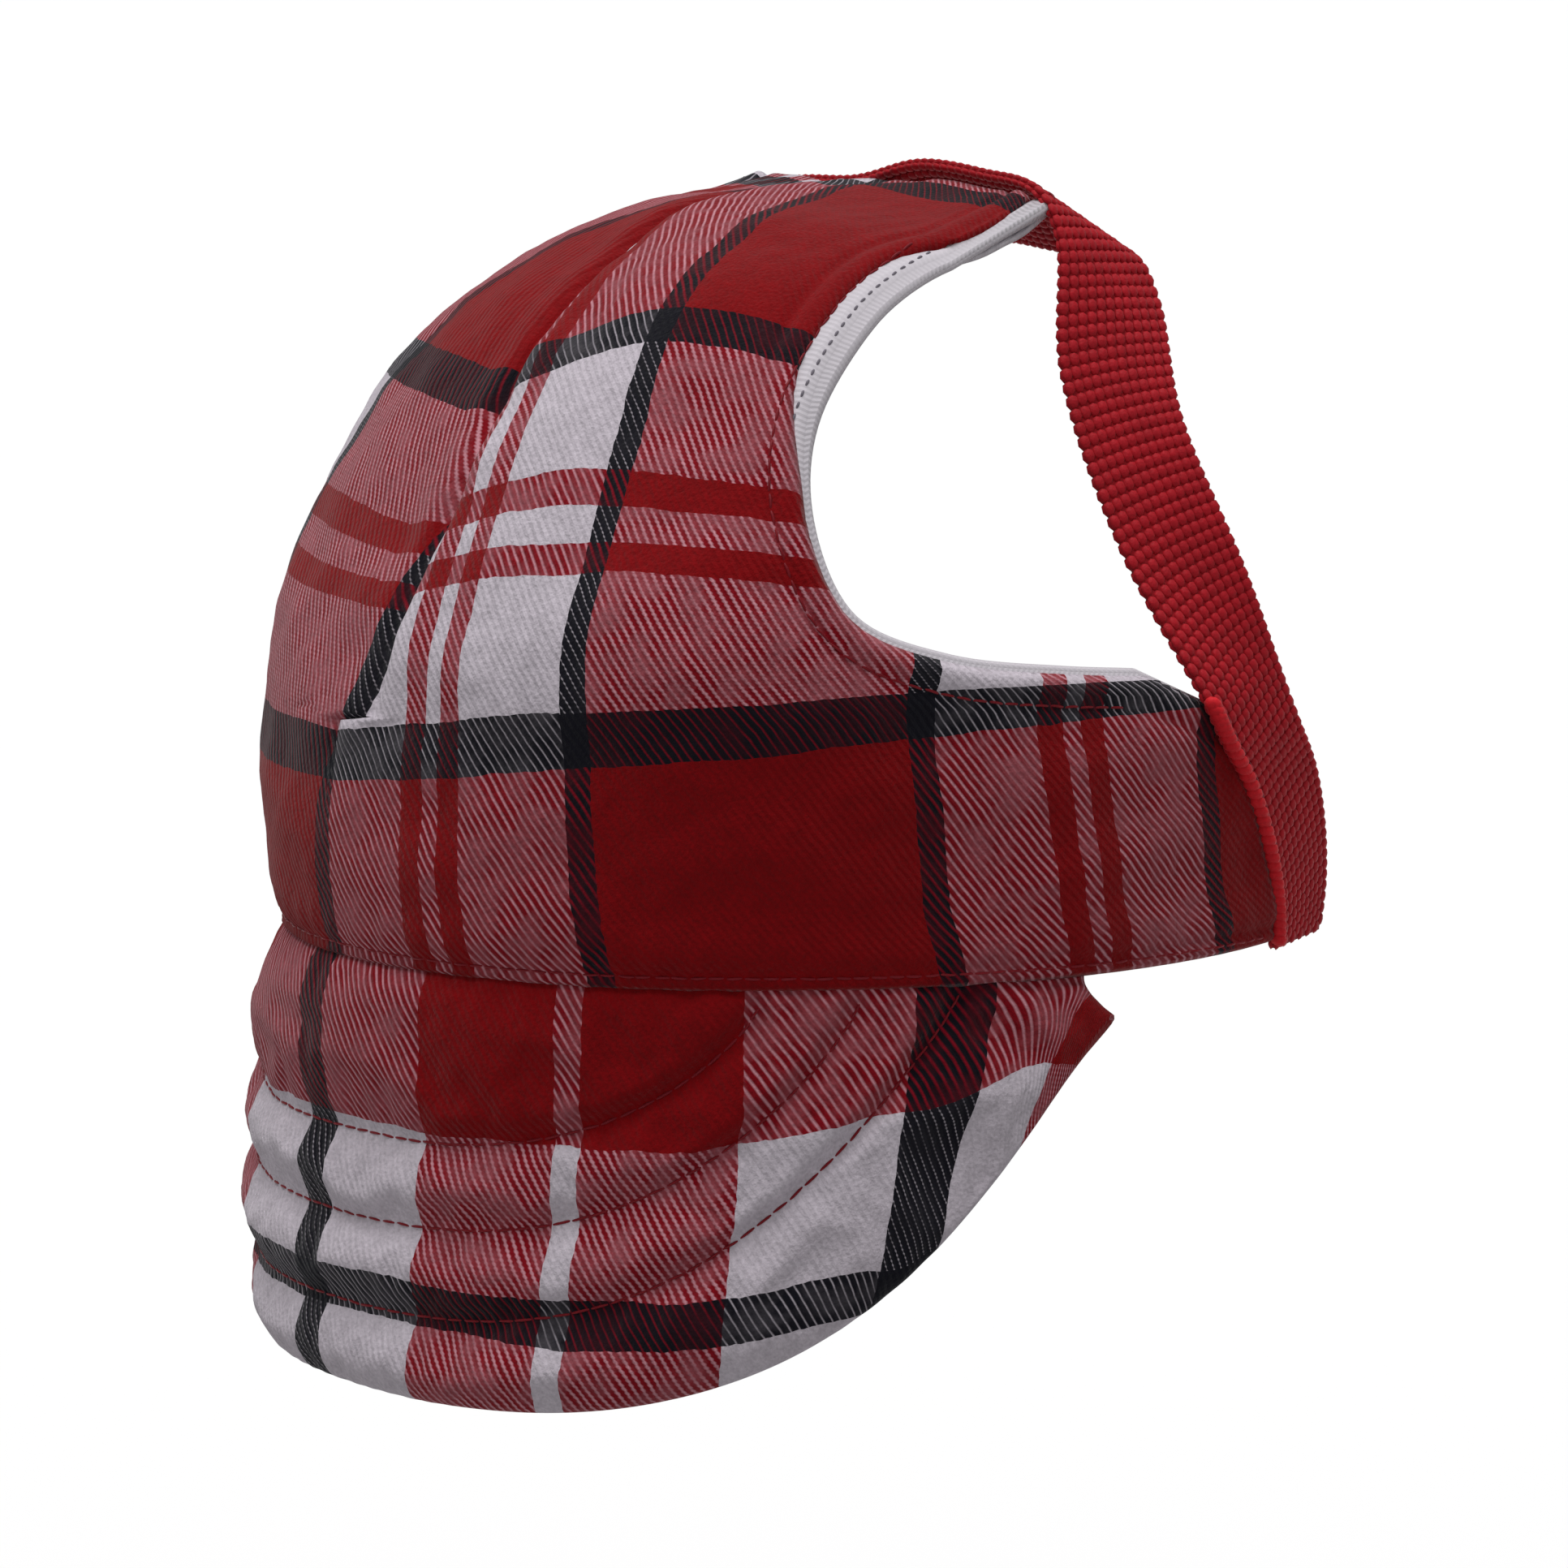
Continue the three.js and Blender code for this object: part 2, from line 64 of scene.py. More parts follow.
# %% Driving sizes of the cap
HEAD_WIDTH = 146  # across the oval, over the cloth
HEAD_LENGTH = 168
BAND_HEIGHT = 43  # hem to the lower side of the ear openings
CROWN_HEIGHT = 112
CROWN_DEPTH = 97  # front of the band to the crown's rear edge
REAR_EDGE = 85  # across the crown's rear edge
SQUARENESS = 0.8  # how much fuller than an ellipse the oval is halfway up
BAND_END_HEM = math.radians(119)  # angle from the front where the band ends
BAND_END_TOP = math.radians(108)
CORNER_TURN = math.radians(72)  # the same at each end of the crown's rear edge
EAR_FRONT = 43.5  # front of the band to the foremost place of the ear openings
LINING_DEPTH = 3.0  # outer face of the cap to the lining
TAPE_DEPTH = 4.3  # outer face of the cap to the tape
VISOR_DEPTH = 62.5
VISOR_END_DEPTH = 3
VISOR_HALF_SPREAD = math.radians(91)
VISOR_ROUNDNESS = 4.2
VISOR_TAPER = 1.12
VISOR_ROW_ROUNDNESS = 3.6
VISOR_ROW_TAPER = 0.78
VISOR_FLARE = 3.5
VISOR_THICKNESS = 5.8
VISOR_ROWS = (0.35, 0.55, 0.76)
VISOR_ROW_SPREAD = (0.6, 0.715, 0.83)
STRAP_WIDTH = 20
STRAP_THICKNESS = 1.4
GAP = 0.3  # between the hem and the visor
RISE = CROWN_HEIGHT - BAND_HEIGHT


# %% Small tools for numbers and curves
def lerp(a, b, share):
    return a + (b - a) * share


def smooth(low, high, x):
    share = np.clip((x - low) / (high - low), 0, 1)
    return share * share * (3 - 2 * share)


def bell(x, width):
    return np.exp(-((x / width) ** 2))


def unit(v):
    return v / np.maximum(np.linalg.norm(v, axis=-1, keepdims=True), 1e-12)


def spline(points):
    """A centripetal curve through points, as a function of 0 to 1 that gives each span its share."""
    p = np.array(points, float)
    p = np.vstack([2 * p[0] - p[1], p, 2 * p[-1] - p[-2]])
    spans = len(p) - 3

    def at(share):
        x = np.clip(np.atleast_1d(np.asarray(share, float)), 0, 1) * spans
        i = np.minimum(x.astype(int), spans - 1)
        w = (x - i)[:, None]
        a, b, c, d = (p[i + k] for k in range(4))
        ab, bc, cd = (
            np.maximum(np.linalg.norm(q - r, axis=-1), 1e-9)[:, None] ** 0.5
            for q, r in ((b, a), (c, b), (d, c))
        )
        start = ((b - a) / ab - (c - a) / (ab + bc) + (c - b) / bc) * bc
        end = ((c - b) / bc - (d - b) / (bc + cd) + (d - c) / cd) * bc
        cubic = 2 * b - 2 * c + start + end
        square = -3 * b + 3 * c - 2 * start - end
        return cubic * w**3 + square * w**2 + start * w + b

    return at


def travelled(points):
    """Length travelled along a line of points, at each of them."""
    steps = np.linalg.norm(np.diff(points, axis=0), axis=1)
    return np.concatenate([[0], np.cumsum(steps)])


def refined(points, count):
    """The same line drawn with more points."""
    marks = np.linspace(0, len(points) - 1, count)
    columns = [np.interp(marks, np.arange(len(points)), points[:, k]) for k in range(3)]
    return np.stack(columns, -1)


class Line:
    """A curve measured along its length: line(0.5) is the point halfway."""

    def __init__(self, points, samples=4001):
        self.points = spline(points)(np.linspace(0, 1, samples))
        lengths = travelled(self.points)
        self.length = lengths[-1]
        self.share = lengths / self.length

    def __call__(self, share):
        columns = [np.interp(share, self.share, self.points[:, k]) for k in range(3)]
        return np.stack(columns, -1)


NOISE_WAVES = 16


def soft_noise(points, wavelength, seed):
    """A smooth random value from about -1 to 1 at each point, the same on every run."""
    rng = np.random.default_rng(seed)
    ways = unit(rng.normal(size=(NOISE_WAVES, 3))) * rng.uniform(0.6, 1.5, (NOISE_WAVES, 1))
    phase = rng.uniform(0, 2 * math.pi, NOISE_WAVES)
    total = np.sin(points @ ways.T * (2 * math.pi / wavelength) + phase).sum(-1)
    return total / math.sqrt(NOISE_WAVES)


def wrinkles(points, sizes):
    """Wrinkles of several sizes, each with its height, wavelength and seed."""
    return sum(height * soft_noise(points, wavelength, seed) for height, wavelength, seed in sizes)


# %% The crown and visor as formulas
def from_front(y):
    """A distance from the front of the band, as a Y place."""
    return y - HEAD_LENGTH / 2


FRONT_DOME = [
    (0.055, 0.11), (0.14, 0.31), (0.235, 0.53), (0.33, 0.69),
    (0.45, 0.83), (0.61, 0.935), (0.81, 0.985), (1, 1),
]
SIDE_DOME = [(0.18, 0.2, 0.26), (0.42, 0.5, 0.55), (0.71, 0.8, 0.82), (1, 1, 0.985)]
front_curve = Line(
    [(0, from_front(0), 0), (0, from_front(-2), BAND_HEIGHT * 0.33)]
    + [(0, from_front(0.5), BAND_HEIGHT * 0.76)]
    + [(0, from_front(y * CROWN_DEPTH), BAND_HEIGHT + z * RISE) for y, z in FRONT_DOME]
)
side_curve = Line(
    [(HEAD_WIDTH / 2, 0, 0), (HEAD_WIDTH / 2 + 0.5, 0, BAND_HEIGHT * 0.47)]
    + [(HEAD_WIDTH / 2 - 1, 0, BAND_HEIGHT)]
    + [
        (
            lerp(HEAD_WIDTH / 2 - 1, REAR_EDGE / 2, x),
            y * from_front(CROWN_DEPTH),
            BAND_HEIGHT + z * RISE,
        )
        for x, y, z in SIDE_DOME
    ]
)


def crown(height, turn):
    """Outer face of the crown: height 0 to 1 from hem to rear edge, turn from the front to the left."""
    height, turn = np.broadcast_arrays(np.asarray(height, float), np.asarray(turn, float))
    middle, side = front_curve(height), side_curve(height)
    power = 2 + SQUARENESS * np.sin(math.pi * height) ** 2
    c, s = np.cos(turn), np.sin(turn)
    reach = (np.abs(c) ** power + np.abs(s) ** power) ** (-1 / power)
    back = 1 - reach * c
    y = lerp(middle[..., 1], side[..., 1], back)
    z = lerp(middle[..., 2], side[..., 2], back)
    return np.stack([side[..., 0] * reach * s, y, z], -1)


def crown_out(height, turn, step=0.002):
    """Outward direction of the crown's face."""
    height = np.asarray(height, float)
    up = crown(np.minimum(height + step, 1), turn) - crown(np.maximum(height - step, 0), turn)
    round_it = crown(height, turn + step) - crown(height, turn - step)
    return unit(np.cross(round_it, up))


def visor(depth, across):
    """Outer face of the visor: depth 0 to 1 from seam to edge, across -1 to 1 from right to left."""
    depth, across = np.broadcast_arrays(np.asarray(depth, float), np.asarray(across, float))
    turn = across * VISOR_HALF_SPREAD
    reach = (1 - np.minimum(np.abs(across), 1) ** VISOR_ROUNDNESS) ** VISOR_TAPER
    drop = VISOR_END_DEPTH + (VISOR_DEPTH - VISOR_END_DEPTH) * reach
    flare = VISOR_FLARE * np.abs(depth) ** 1.5
    x = (HEAD_WIDTH / 2 + flare) * np.sin(turn)
    y = -(HEAD_LENGTH / 2 + flare) * np.cos(turn)
    return np.stack([x, y, -GAP - depth * (drop - GAP)], -1)


def visor_out(depth, across, step=0.002):
    inside = np.clip(across, -0.995, 0.995)
    down = visor(depth + step, inside) - visor(depth - step, inside)
    round_it = visor(depth, inside + step) - visor(depth, inside - step)
    return unit(np.cross(down, round_it))


def band_end(z):
    return lerp(BAND_END_HEM, BAND_END_TOP, np.clip(z / BAND_HEIGHT, 0, 1))


def share_at(z):
    """Share of the way up the side at which it reaches a height above the hem."""
    return np.interp(z, side_curve.points[:, 2], side_curve.share)


print("front of the crown, mm:", round(front_curve.length, 1))


# %% [markdown]
# ## Where the ear openings are cut
# Each ear opening is cut straight through both sides, so its edge is a curve in side view. The
# mesh needs the same edge as heights and turns on the dome, which Newton's method finds.

# %% The edge of the left ear opening
EAR_CURVE = [
    (1, 0.941), (0.68, 0.888), (0.35, 0.771), (0.09, 0.575), (0, 0.365),
    (0.07, 0.16), (0.34, 0.065), (0.71, 0.024), (1.1, 0),
]
EAR_SAMPLES = 140
NEWTON_STEPS, EASE = 60, 0.7  # a share of each step is taken, so that none overshoots


def plain_spline(points, share):
    """An evenly timed curve through flat points, with its ends held."""
    p = np.array(points, float)
    x = np.clip(share, 0, 1) * (len(p) - 1)
    i = np.minimum(x.astype(int), len(p) - 2)
    w = (x - i)[:, None]
    a, b, c, d = (p[np.clip(i + k, 0, len(p) - 1)] for k in (-1, 0, 1, 2))
    v, u = (c - a) / 2, (d - b) / 2
    return (2 * b - 2 * c + v + u) * w**3 + (-3 * b + 3 * c - 2 * v - u) * w**2 + v * w + b


def crown_at(y, z):
    """Height and turn of the left side's points at given places in side view."""
    height, turn = np.clip(z / CROWN_HEIGHT, 0.05, 0.9), np.full(len(z), 1.2)
    step = 1e-3
    for _ in range(NEWTON_STEPS):
        p = crown(height, turn)
        up = (crown(height + step, turn) - p) / step
        round_it = (crown(height, turn + step) - p) / step
        off_y, off_z = y - p[:, 1], z - p[:, 2]
        det = up[:, 1] * round_it[:, 2] - up[:, 2] * round_it[:, 1]
        height = height + EASE * (round_it[:, 2] * off_y - round_it[:, 1] * off_z) / det
        turn = turn + EASE * (up[:, 1] * off_z - up[:, 2] * off_y) / det
        height, turn = np.clip(height, 0.01, 0.995), np.clip(turn, 0.2, 2)
    return height, turn


CORNER_SKIP = 9  # samples left out beside the rear corner, where the edge runs straight
deep = CROWN_DEPTH - EAR_FRONT
flat_edge = plain_spline(EAR_CURVE, np.linspace(0.07, 0.95, EAR_SAMPLES))
edge_height, edge_turn = crown_at(
    from_front(EAR_FRONT + flat_edge[:, 0] * deep), BAND_HEIGHT + flat_edge[:, 1] * RISE
)
ear_edge = np.vstack([
    [1, CORNER_TURN],
    np.stack([edge_height, edge_turn], -1)[CORNER_SKIP:],
    [share_at(BAND_HEIGHT), BAND_END_TOP],
])


def inset_edge(edge, distance):
    """The same edge moved a distance over the cloth, away from the opening."""
    height, turn, step = edge[:, 0], edge[:, 1], 1e-3
    here = crown(height, turn)
    up = (here - crown(height - step, turn)) / step
    round_it = (crown(height, turn + step) - here) / step
    along = unit(np.gradient(here, axis=0))
    move = unit(np.cross(along, np.cross(round_it, up))) * distance[:, None]
    a, b, c = (up * up).sum(-1), (up * round_it).sum(-1), (round_it * round_it).sum(-1)
    p, q = (move * up).sum(-1), (move * round_it).sum(-1)
    rise, swing = (c * p - b * q) / (a * c - b * b), (a * q - b * p) / (a * c - b * b)
    moved = np.stack([np.minimum(height + rise, 1), turn + swing], -1)
    moved[0, 0], moved[-1] = 1, edge[-1]
    return moved


KNIT_WIDTH, KNIT_LEAST = 4.4, 0.3


def knit_showing(share):
    """Width of the knit strip that shows past the flannel: wide over the top, none below."""
    return KNIT_WIDTH * smooth(-0.06, 0.1, share) * (1 - smooth(0.22, 0.42, share)) + KNIT_LEAST


flannel_edge = inset_edge(ear_edge, knit_showing(np.linspace(0, 1, len(ear_edge))))
SPLIT = int(EAR_SAMPLES * 0.62)  # where the edge turns from going down to going back
print("ear edge, points:", len(ear_edge), "lowest, mm:", round(crown(*ear_edge.T)[:, 2].min(), 1))


# %% [markdown]
# ## The crown's grid
# A round hole cut through a grid leaves ragged facets. Here the half crown is laid out as two
# blocks of quads whose sides run along the dart, the ear opening, the hem and the end of the
# band, so every edge is smooth and can be rolled over like a sewn one.

# %% Lay out one half of the crown
DART = spline([  # height, distance from the middle; the soft cap leans to one side
    (0, 0), (0.12, 0), (0.2, 4.2), (0.3, 8.6), (0.4, 8.8), (0.5, 7.2),
    (0.6, 4.8), (0.7, 0.2), (0.8, -4.4), (0.9, -7.5), (1, -8.5),
])(np.linspace(0, 1, 400))
GRID_STEP = 1.3
LOWER_RISE, UPPER_RISE = 58, 100  # cloth covered by the rows below and above the split
FRONT_REACH, BAND_REACH = 84, 78  # cloth covered by the columns before and behind the split
HEM_LEAN = 0.97  # turn of the split at the hem, as a share of its turn at the opening
FRONT_LIFT = 4  # how much higher the split's row lies at the middle of the front


def dart_arc(height):
    return np.interp(height, DART[:, 0], DART[:, 1])


def dart_turn(height):
    radius = np.linalg.norm(crown(height, 0.01) - crown(height, -0.01), axis=-1) / 0.02
    return dart_arc(height) / radius


def even(line, count):
    """The same flat path with count + 1 points, evenly spaced over the cloth."""
    lengths = travelled(crown(line[:, 0], line[:, 1]))
    marks = np.linspace(0, lengths[-1], count + 1)
    return np.stack([np.interp(marks, lengths, line[:, k]) for k in (0, 1)], -1)


def half_crown(side, edge):
    """Two blocks of heights and turns for the half on one side: side 1 is left, -1 is right."""
    split = edge[SPLIT]
    lower_rows, upper_rows = int(LOWER_RISE / GRID_STEP), int(UPPER_RISE / GRID_STEP)
    columns, band_columns = int(FRONT_REACH / GRID_STEP), int(BAND_REACH / GRID_STEP)
    hem_turn = split[1] * HEM_LEAN
    lower = np.stack([np.linspace(0, split[0], 60), np.linspace(hem_turn, split[1], 60)], -1)
    lower = even(lower, lower_rows)
    right = np.vstack([lower, even(edge[SPLIT::-1], upper_rows)[1:]])
    middle_z = crown(split[0], split[1])[2] + FRONT_LIFT
    front_split = np.interp(middle_z, front_curve.points[:, 2], front_curve.share)
    left = np.concatenate([
        np.linspace(0, front_split, lower_rows + 1),
        np.linspace(front_split, 1, upper_rows + 1)[1:],
    ])
    across = np.linspace(0, 1, columns + 1)[None, :]
    height = lerp(left[:, None], right[:, 0:1], across)
    turn = side * right[:, 1:2] * across + dart_turn(height) * (1 - across)
    front_block = np.stack([height, turn], -1)
    top = even(edge[SPLIT:], band_columns)
    z = np.linspace(0, BAND_HEIGHT, lower_rows + 1)
    end = np.stack([share_at(z), band_end(z)], -1)
    hem = np.linspace(hem_turn, BAND_END_HEM, band_columns + 1)
    bottom = np.stack([np.zeros(band_columns + 1), hem], -1)
    u = np.linspace(0, 1, band_columns + 1)[None, :, None]
    v = np.linspace(0, 1, lower_rows + 1)[:, None, None]
    band_block = (1 - v) * bottom[None] + v * top[None]
    band_block = band_block + (1 - u) * lower[:, None] + u * end[:, None]
    corners = (1 - u) * (1 - v) * bottom[0] + u * (1 - v) * bottom[-1]
    band_block = band_block - corners - (1 - u) * v * top[0] - u * v * top[-1]
    band_block[..., 1] *= side
    return front_block, band_block


def quads(rows, columns, first=0):
    """Faces of a grid of vertices, turned so that across x up points out."""
    i, j = np.meshgrid(np.arange(rows), np.arange(columns), indexing="ij")
    a = first + i * (columns + 1) + j
    return np.stack([a, a + 1, a + columns + 2, a + columns + 1], -1).reshape(-1, 4)


def whole_crown(edge):
    """Height and turn of every vertex, the quads, and the side that each quad is on."""
    points, faces, sides, count = [], [], [], 0
    for side in (1, -1):
        for block in half_crown(side, edge):
            new = quads(block.shape[0] - 1, block.shape[1] - 1, count)
            points.append(block.reshape(-1, 2))
            faces.append(new if side > 0 else new[:, ::-1])
            sides.append(np.full(len(new), side))
            count += block.shape[0] * block.shape[1]
    return np.vstack(points), np.vstack(faces), np.concatenate(sides)


flannel_grid, lining_grid = whole_crown(flannel_edge), whole_crown(ear_edge)
print("crown grid:", len(flannel_grid[0]), "vertices", len(flannel_grid[1]), "quads")


# %% [markdown]
# ## Cloth coordinates
# Plaid is woven flat, so its stripes are straight in the cloth and bend where the cloth is
# sewn to shape. Every vertex therefore gets two lengths: how far across the cloth it lies, along
# the weft, and how far up, along the warp. The dart swallows a wedge of cloth, so the lengths
# jump there, and the two halves keep their own.

# %% Lengths across and up the crown's cloth
TABLE_ROWS, TABLE_COLUMNS = 160, 840
TABLE_REACH = 2.1  # largest turn in the table
table_heights = np.linspace(0, 1, TABLE_ROWS + 1)
table_turns = np.linspace(-TABLE_REACH, TABLE_REACH, TABLE_COLUMNS + 1)


def lengths_across(places):
    """Length along each row of a grid of points, measured from the row's middle."""
    steps = np.linalg.norm(np.diff(places, axis=1), axis=-1)
    lengths = np.concatenate([np.zeros((len(places), 1)), np.cumsum(steps, axis=1)], axis=1)
    return lengths - lengths[:, lengths.shape[1] // 2, None]


arc_table = lengths_across(crown(table_heights[:, None], table_turns[None, :]))


def arc_of(height, turn):
    """Length along the cloth, at one height, from the middle of the front round to a turn."""
    i = np.clip(height * TABLE_ROWS, 0, TABLE_ROWS - 0.001)
    j = np.clip((turn + TABLE_REACH) / (2 * TABLE_REACH) * TABLE_COLUMNS, 0, TABLE_COLUMNS - 0.001)
    i0, j0 = i.astype(int), j.astype(int)
    a, b = i - i0, j - j0
    low = lerp(arc_table[i0, j0], arc_table[i0, j0 + 1], b)
    return lerp(low, lerp(arc_table[i0 + 1, j0], arc_table[i0 + 1, j0 + 1], b), a)


LOWER_BAND, UPPER_BAND, TOP_BAND = 0.0, 63.5, 116.0  # middle of each black band up the cloth
LOWER_PLACE, UPPER_PLACE = 0.178, 0.517  # heights of two of them at the middle of the front
WEDGE = 50  # cloth that the dart has swallowed on each side by the rear edge
WEDGE_BLEND = 12  # how far round from the dart's foot the cloth is still whole
FIRST_STRIPE = 0.6  # how far the cloth's stripes lie off the middle
LINE_OFFSET = 3  # how far the stripes of the two halves miss each other at the dart
FRONT_PITCH, END_PITCH = 170, 118  # cloth up the whole dome at the front and at the band's end
BAND_ARC = 113  # length round the band from the middle to its end


def band_heights(arc, side):
    """Heights on the dome of the three black weft bands, at a length round from the middle."""
    round_it = np.abs(arc)
    lean = 0.0007 if side > 0 else 0.0
    lower = LOWER_PLACE + lean * round_it + 0.0000052 * round_it**2
    rise = 0.115 * np.sin(math.pi / 2 * np.clip(arc / 50, 0, 1)) if side > 0 else 0.0009 * round_it
    top = 0.962 + 0.008 * smooth(0, 30, arc) if side > 0 else 0.955 + 0.0005 * round_it
    return lower, UPPER_PLACE + rise, top


def crown_cloth_uv(height, turn, side):
    """Lengths across and up the cloth at points on one side of the dart."""
    arc = arc_of(height, turn)
    whole = (1 - smooth(0.12, 0.22, height)) * bell(arc - dart_arc(height), WEDGE_BLEND)
    across = arc + FIRST_STRIPE + side * WEDGE * height**2 * (1 - whole)
    if side < 0:
        across = across - LINE_OFFSET * smooth(0.13, 0.25, height)
    lower, upper, top = band_heights(arc, side)
    low_share = np.clip(height / lower, 0, 1)
    middle_share = np.clip((height - lower) / (upper - lower), 0, 1)
    high_share = np.clip((height - upper) / (top - upper), 0, 1)
    beyond = np.clip(height - top, 0, 1) * front_curve.length
    pitch = lerp(FRONT_PITCH, END_PITCH, np.clip(np.abs(arc) / BAND_ARC, 0, 1))
    up = -lower * pitch * (1 - low_share) + middle_share * (UPPER_BAND - LOWER_BAND)
    return np.stack([across, up + high_share * (TOP_BAND - UPPER_BAND) + beyond], -1)


print("cloth round the hem, mm:", round(arc_of(0.0, BAND_END_HEM) * 2, 1))


# %% Make a mesh from arrays
CLOTH_UNIT = 100.0  # millimetres of cloth for one unit of the UV map


def make_piece(name, points, faces, corner_uv=None):
    """A smooth mesh object from points in millimetres, with the cloth's lengths as its UV map."""
    mesh = bpy.data.meshes.new(name)
    mesh.from_pydata((np.asarray(points) * MM).tolist(), [], [list(map(int, f)) for f in faces])
    if corner_uv is not None:
        layer = mesh.uv_layers.new(name="cloth")
        layer.data.foreach_set("uv", (np.asarray(corner_uv) / CLOTH_UNIT).astype(np.float32).ravel())
    mesh.polygons.foreach_set("use_smooth", [True] * len(mesh.polygons))
    piece = bpy.data.objects.new(name, mesh)
    bpy.context.scene.collection.objects.link(piece)
    return piece


def apply_modifiers(piece):
    """The piece's modifiers made part of its mesh."""
    graph = bpy.context.evaluated_depsgraph_get()
    mesh = bpy.data.meshes.new_from_object(piece.evaluated_get(graph), depsgraph=graph)
    old = piece.data
    piece.modifiers.clear()
    piece.data = mesh
    bpy.data.meshes.remove(old)
    mesh.name = piece.name
    return piece


def merge_close(piece, distance=0.02):
    """Joins the vertices that two blocks share."""
    weld = piece.modifiers.new("weld", "WELD")
    weld.merge_threshold = distance * MM
    return apply_modifiers(piece)


def thicken(piece, thickness):
    """Gives a one-sided sheet its thickness, inwards."""
    wall = piece.modifiers.new("thickness", "SOLIDIFY")
    wall.thickness = thickness * MM
    wall.offset = -1
    wall.use_rim = True
    return apply_modifiers(piece)


def nearest(points, line):
    """Distance from each point to a line of closely spaced points."""
    tree = kdtree.KDTree(len(line))
    for i, p in enumerate(line):
        tree.insert(Vector(p), i)
    tree.balance()
    return np.array([tree.find(Vector(p))[2] for p in points])


# %% [markdown]
# ## The crown's flannel
# The cloth could be left as the plain dome, but sewn flannel shows its making: it rolls over at
# every edge, sinks under each row of stitches, folds in at the dart and swells between. These
# are added as small moves along the face's own outward direction.

# %% Relief of the flannel
HEM_STITCH = 2.6  # edge of the cloth to the row of stitches
EAR_STITCH = 5.0
ROLL = 1.7  # how far in from an edge the cloth starts to turn over

DART_OPENS = (0.15, 0.27)  # heights over which the dart's seam begins
CALM_HEM, CALM_EAR = 9, 10  # how far from an edge the cloth is held too flat to wrinkle
FLANNEL_WRINKLES = ((0.75, 46, 3), (0.28, 17, 4), (0.07, 6, 5))
PUCKER, PUCKER_PITCH = 0.16, 6.3  # small waves that the hem's thread draws up

fine_edge = refined(crown(flannel_edge[:, 0], flannel_edge[:, 1]), 900)


def rolled(distance):
    """How far the cloth has turned in at a distance from a sewn edge."""
    share = 1 - np.clip(distance / ROLL, 0, 1)
    return -ROLL * 0.85 * (1 - np.sqrt(np.maximum(1 - share**2, 0)))


def furrow(distance, depth, width, lip, lip_at, lip_width):
    """A furrow pulled in by a seam, and the lip of cloth that swells beside it."""
    return lip * bell(distance - lip_at, lip_width) - depth * bell(distance, width)


def flannel_relief(height, turn, base):
    """Outward move of the crown's outer face at each vertex."""
    arc = arc_of(height, turn)
    off_dart = arc - dart_arc(height)
    off_ear = nearest(np.abs(base * [1, 0, 0]) + base * [0, 1, 1], fine_edge)
    low = base[:, 2]
    relief = wrinkles(base, FLANNEL_WRINKLES) * smooth(0, CALM_HEM, low) * smooth(0, CALM_EAR, off_ear)
    relief += smooth(*DART_OPENS, height) * furrow(np.abs(off_dart), 1.5, 1.1, 0.55, 4, 3)
    relief += furrow(low - HEM_STITCH, 0.6, 0.9, 0.35, 4, 3)
    relief += furrow(off_ear - EAR_STITCH, 0.5, 0.9, 0.3, -EAR_STITCH / 2, 1.6)
    wave = np.sin(arc * (2 * math.pi / PUCKER_PITCH) + 1.5 * soft_noise(base, 20, 8))
    relief += PUCKER * wave * bell(low - HEM_STITCH - 2, 3.2)
    return relief + rolled(off_ear) + rolled(low)


def crown_sheet(name, grid, depth, thickness, relief):
    """A layer of the crown at a depth below the outer face."""
    places, faces, sides = grid
    height, turn = places[:, 0], places[:, 1]
    base = crown(height, turn)
    points = base + crown_out(height, turn) * (relief(height, turn, base) - depth)[:, None]
    uv = {side: crown_cloth_uv(height, turn, side) for side in (1, -1)}
    corners = np.where((sides > 0)[:, None, None], uv[1][faces], uv[-1][faces])
    piece = make_piece(name, points, faces, corners.reshape(-1, 2))
    return thicken(merge_close(piece), thickness)


FLANNEL = 1.3  # a little thinner than the design's, so its folds stay clear of the lining
crown_cloth = crown_sheet("crown_flannel", flannel_grid, 0, FLANNEL, flannel_relief)
print("crown flannel:", len(crown_cloth.data.polygons), "faces")


# %% [markdown]
# ## Lining, binding and tape
# Inside, a white knit lining follows the same dome, a knit strip is turned round each ear
# opening's raw edges, and a woven tape covers the hem's seam. The lining could be the flannel
# offset inwards, but it is cut larger at the ears, so it gets its own grid from the same rule.
# The strip and the tape are solids swept along lines on the dome.

# %% Lining
LINING = 0.8
LINING_WRINKLES = ((0.3, 30, 13), (0.12, 9, 14))
DART_RIDGE, DART_RIDGE_WIDTH = 0.7, 1.4  # the dart's seam stands up under the lining


def lining_relief(height, turn, base):
    """Outward move of the lining at each vertex."""
    ridge = DART_RIDGE * bell(arc_of(height, turn) - dart_arc(height), DART_RIDGE_WIDTH)
    return wrinkles(base, LINING_WRINKLES) + ridge * smooth(*DART_OPENS, height)


crown_lining = crown_sheet("crown_knit_lining", lining_grid, LINING_DEPTH, LINING, lining_relief)
print("lining:", len(crown_lining.data.polygons), "faces")


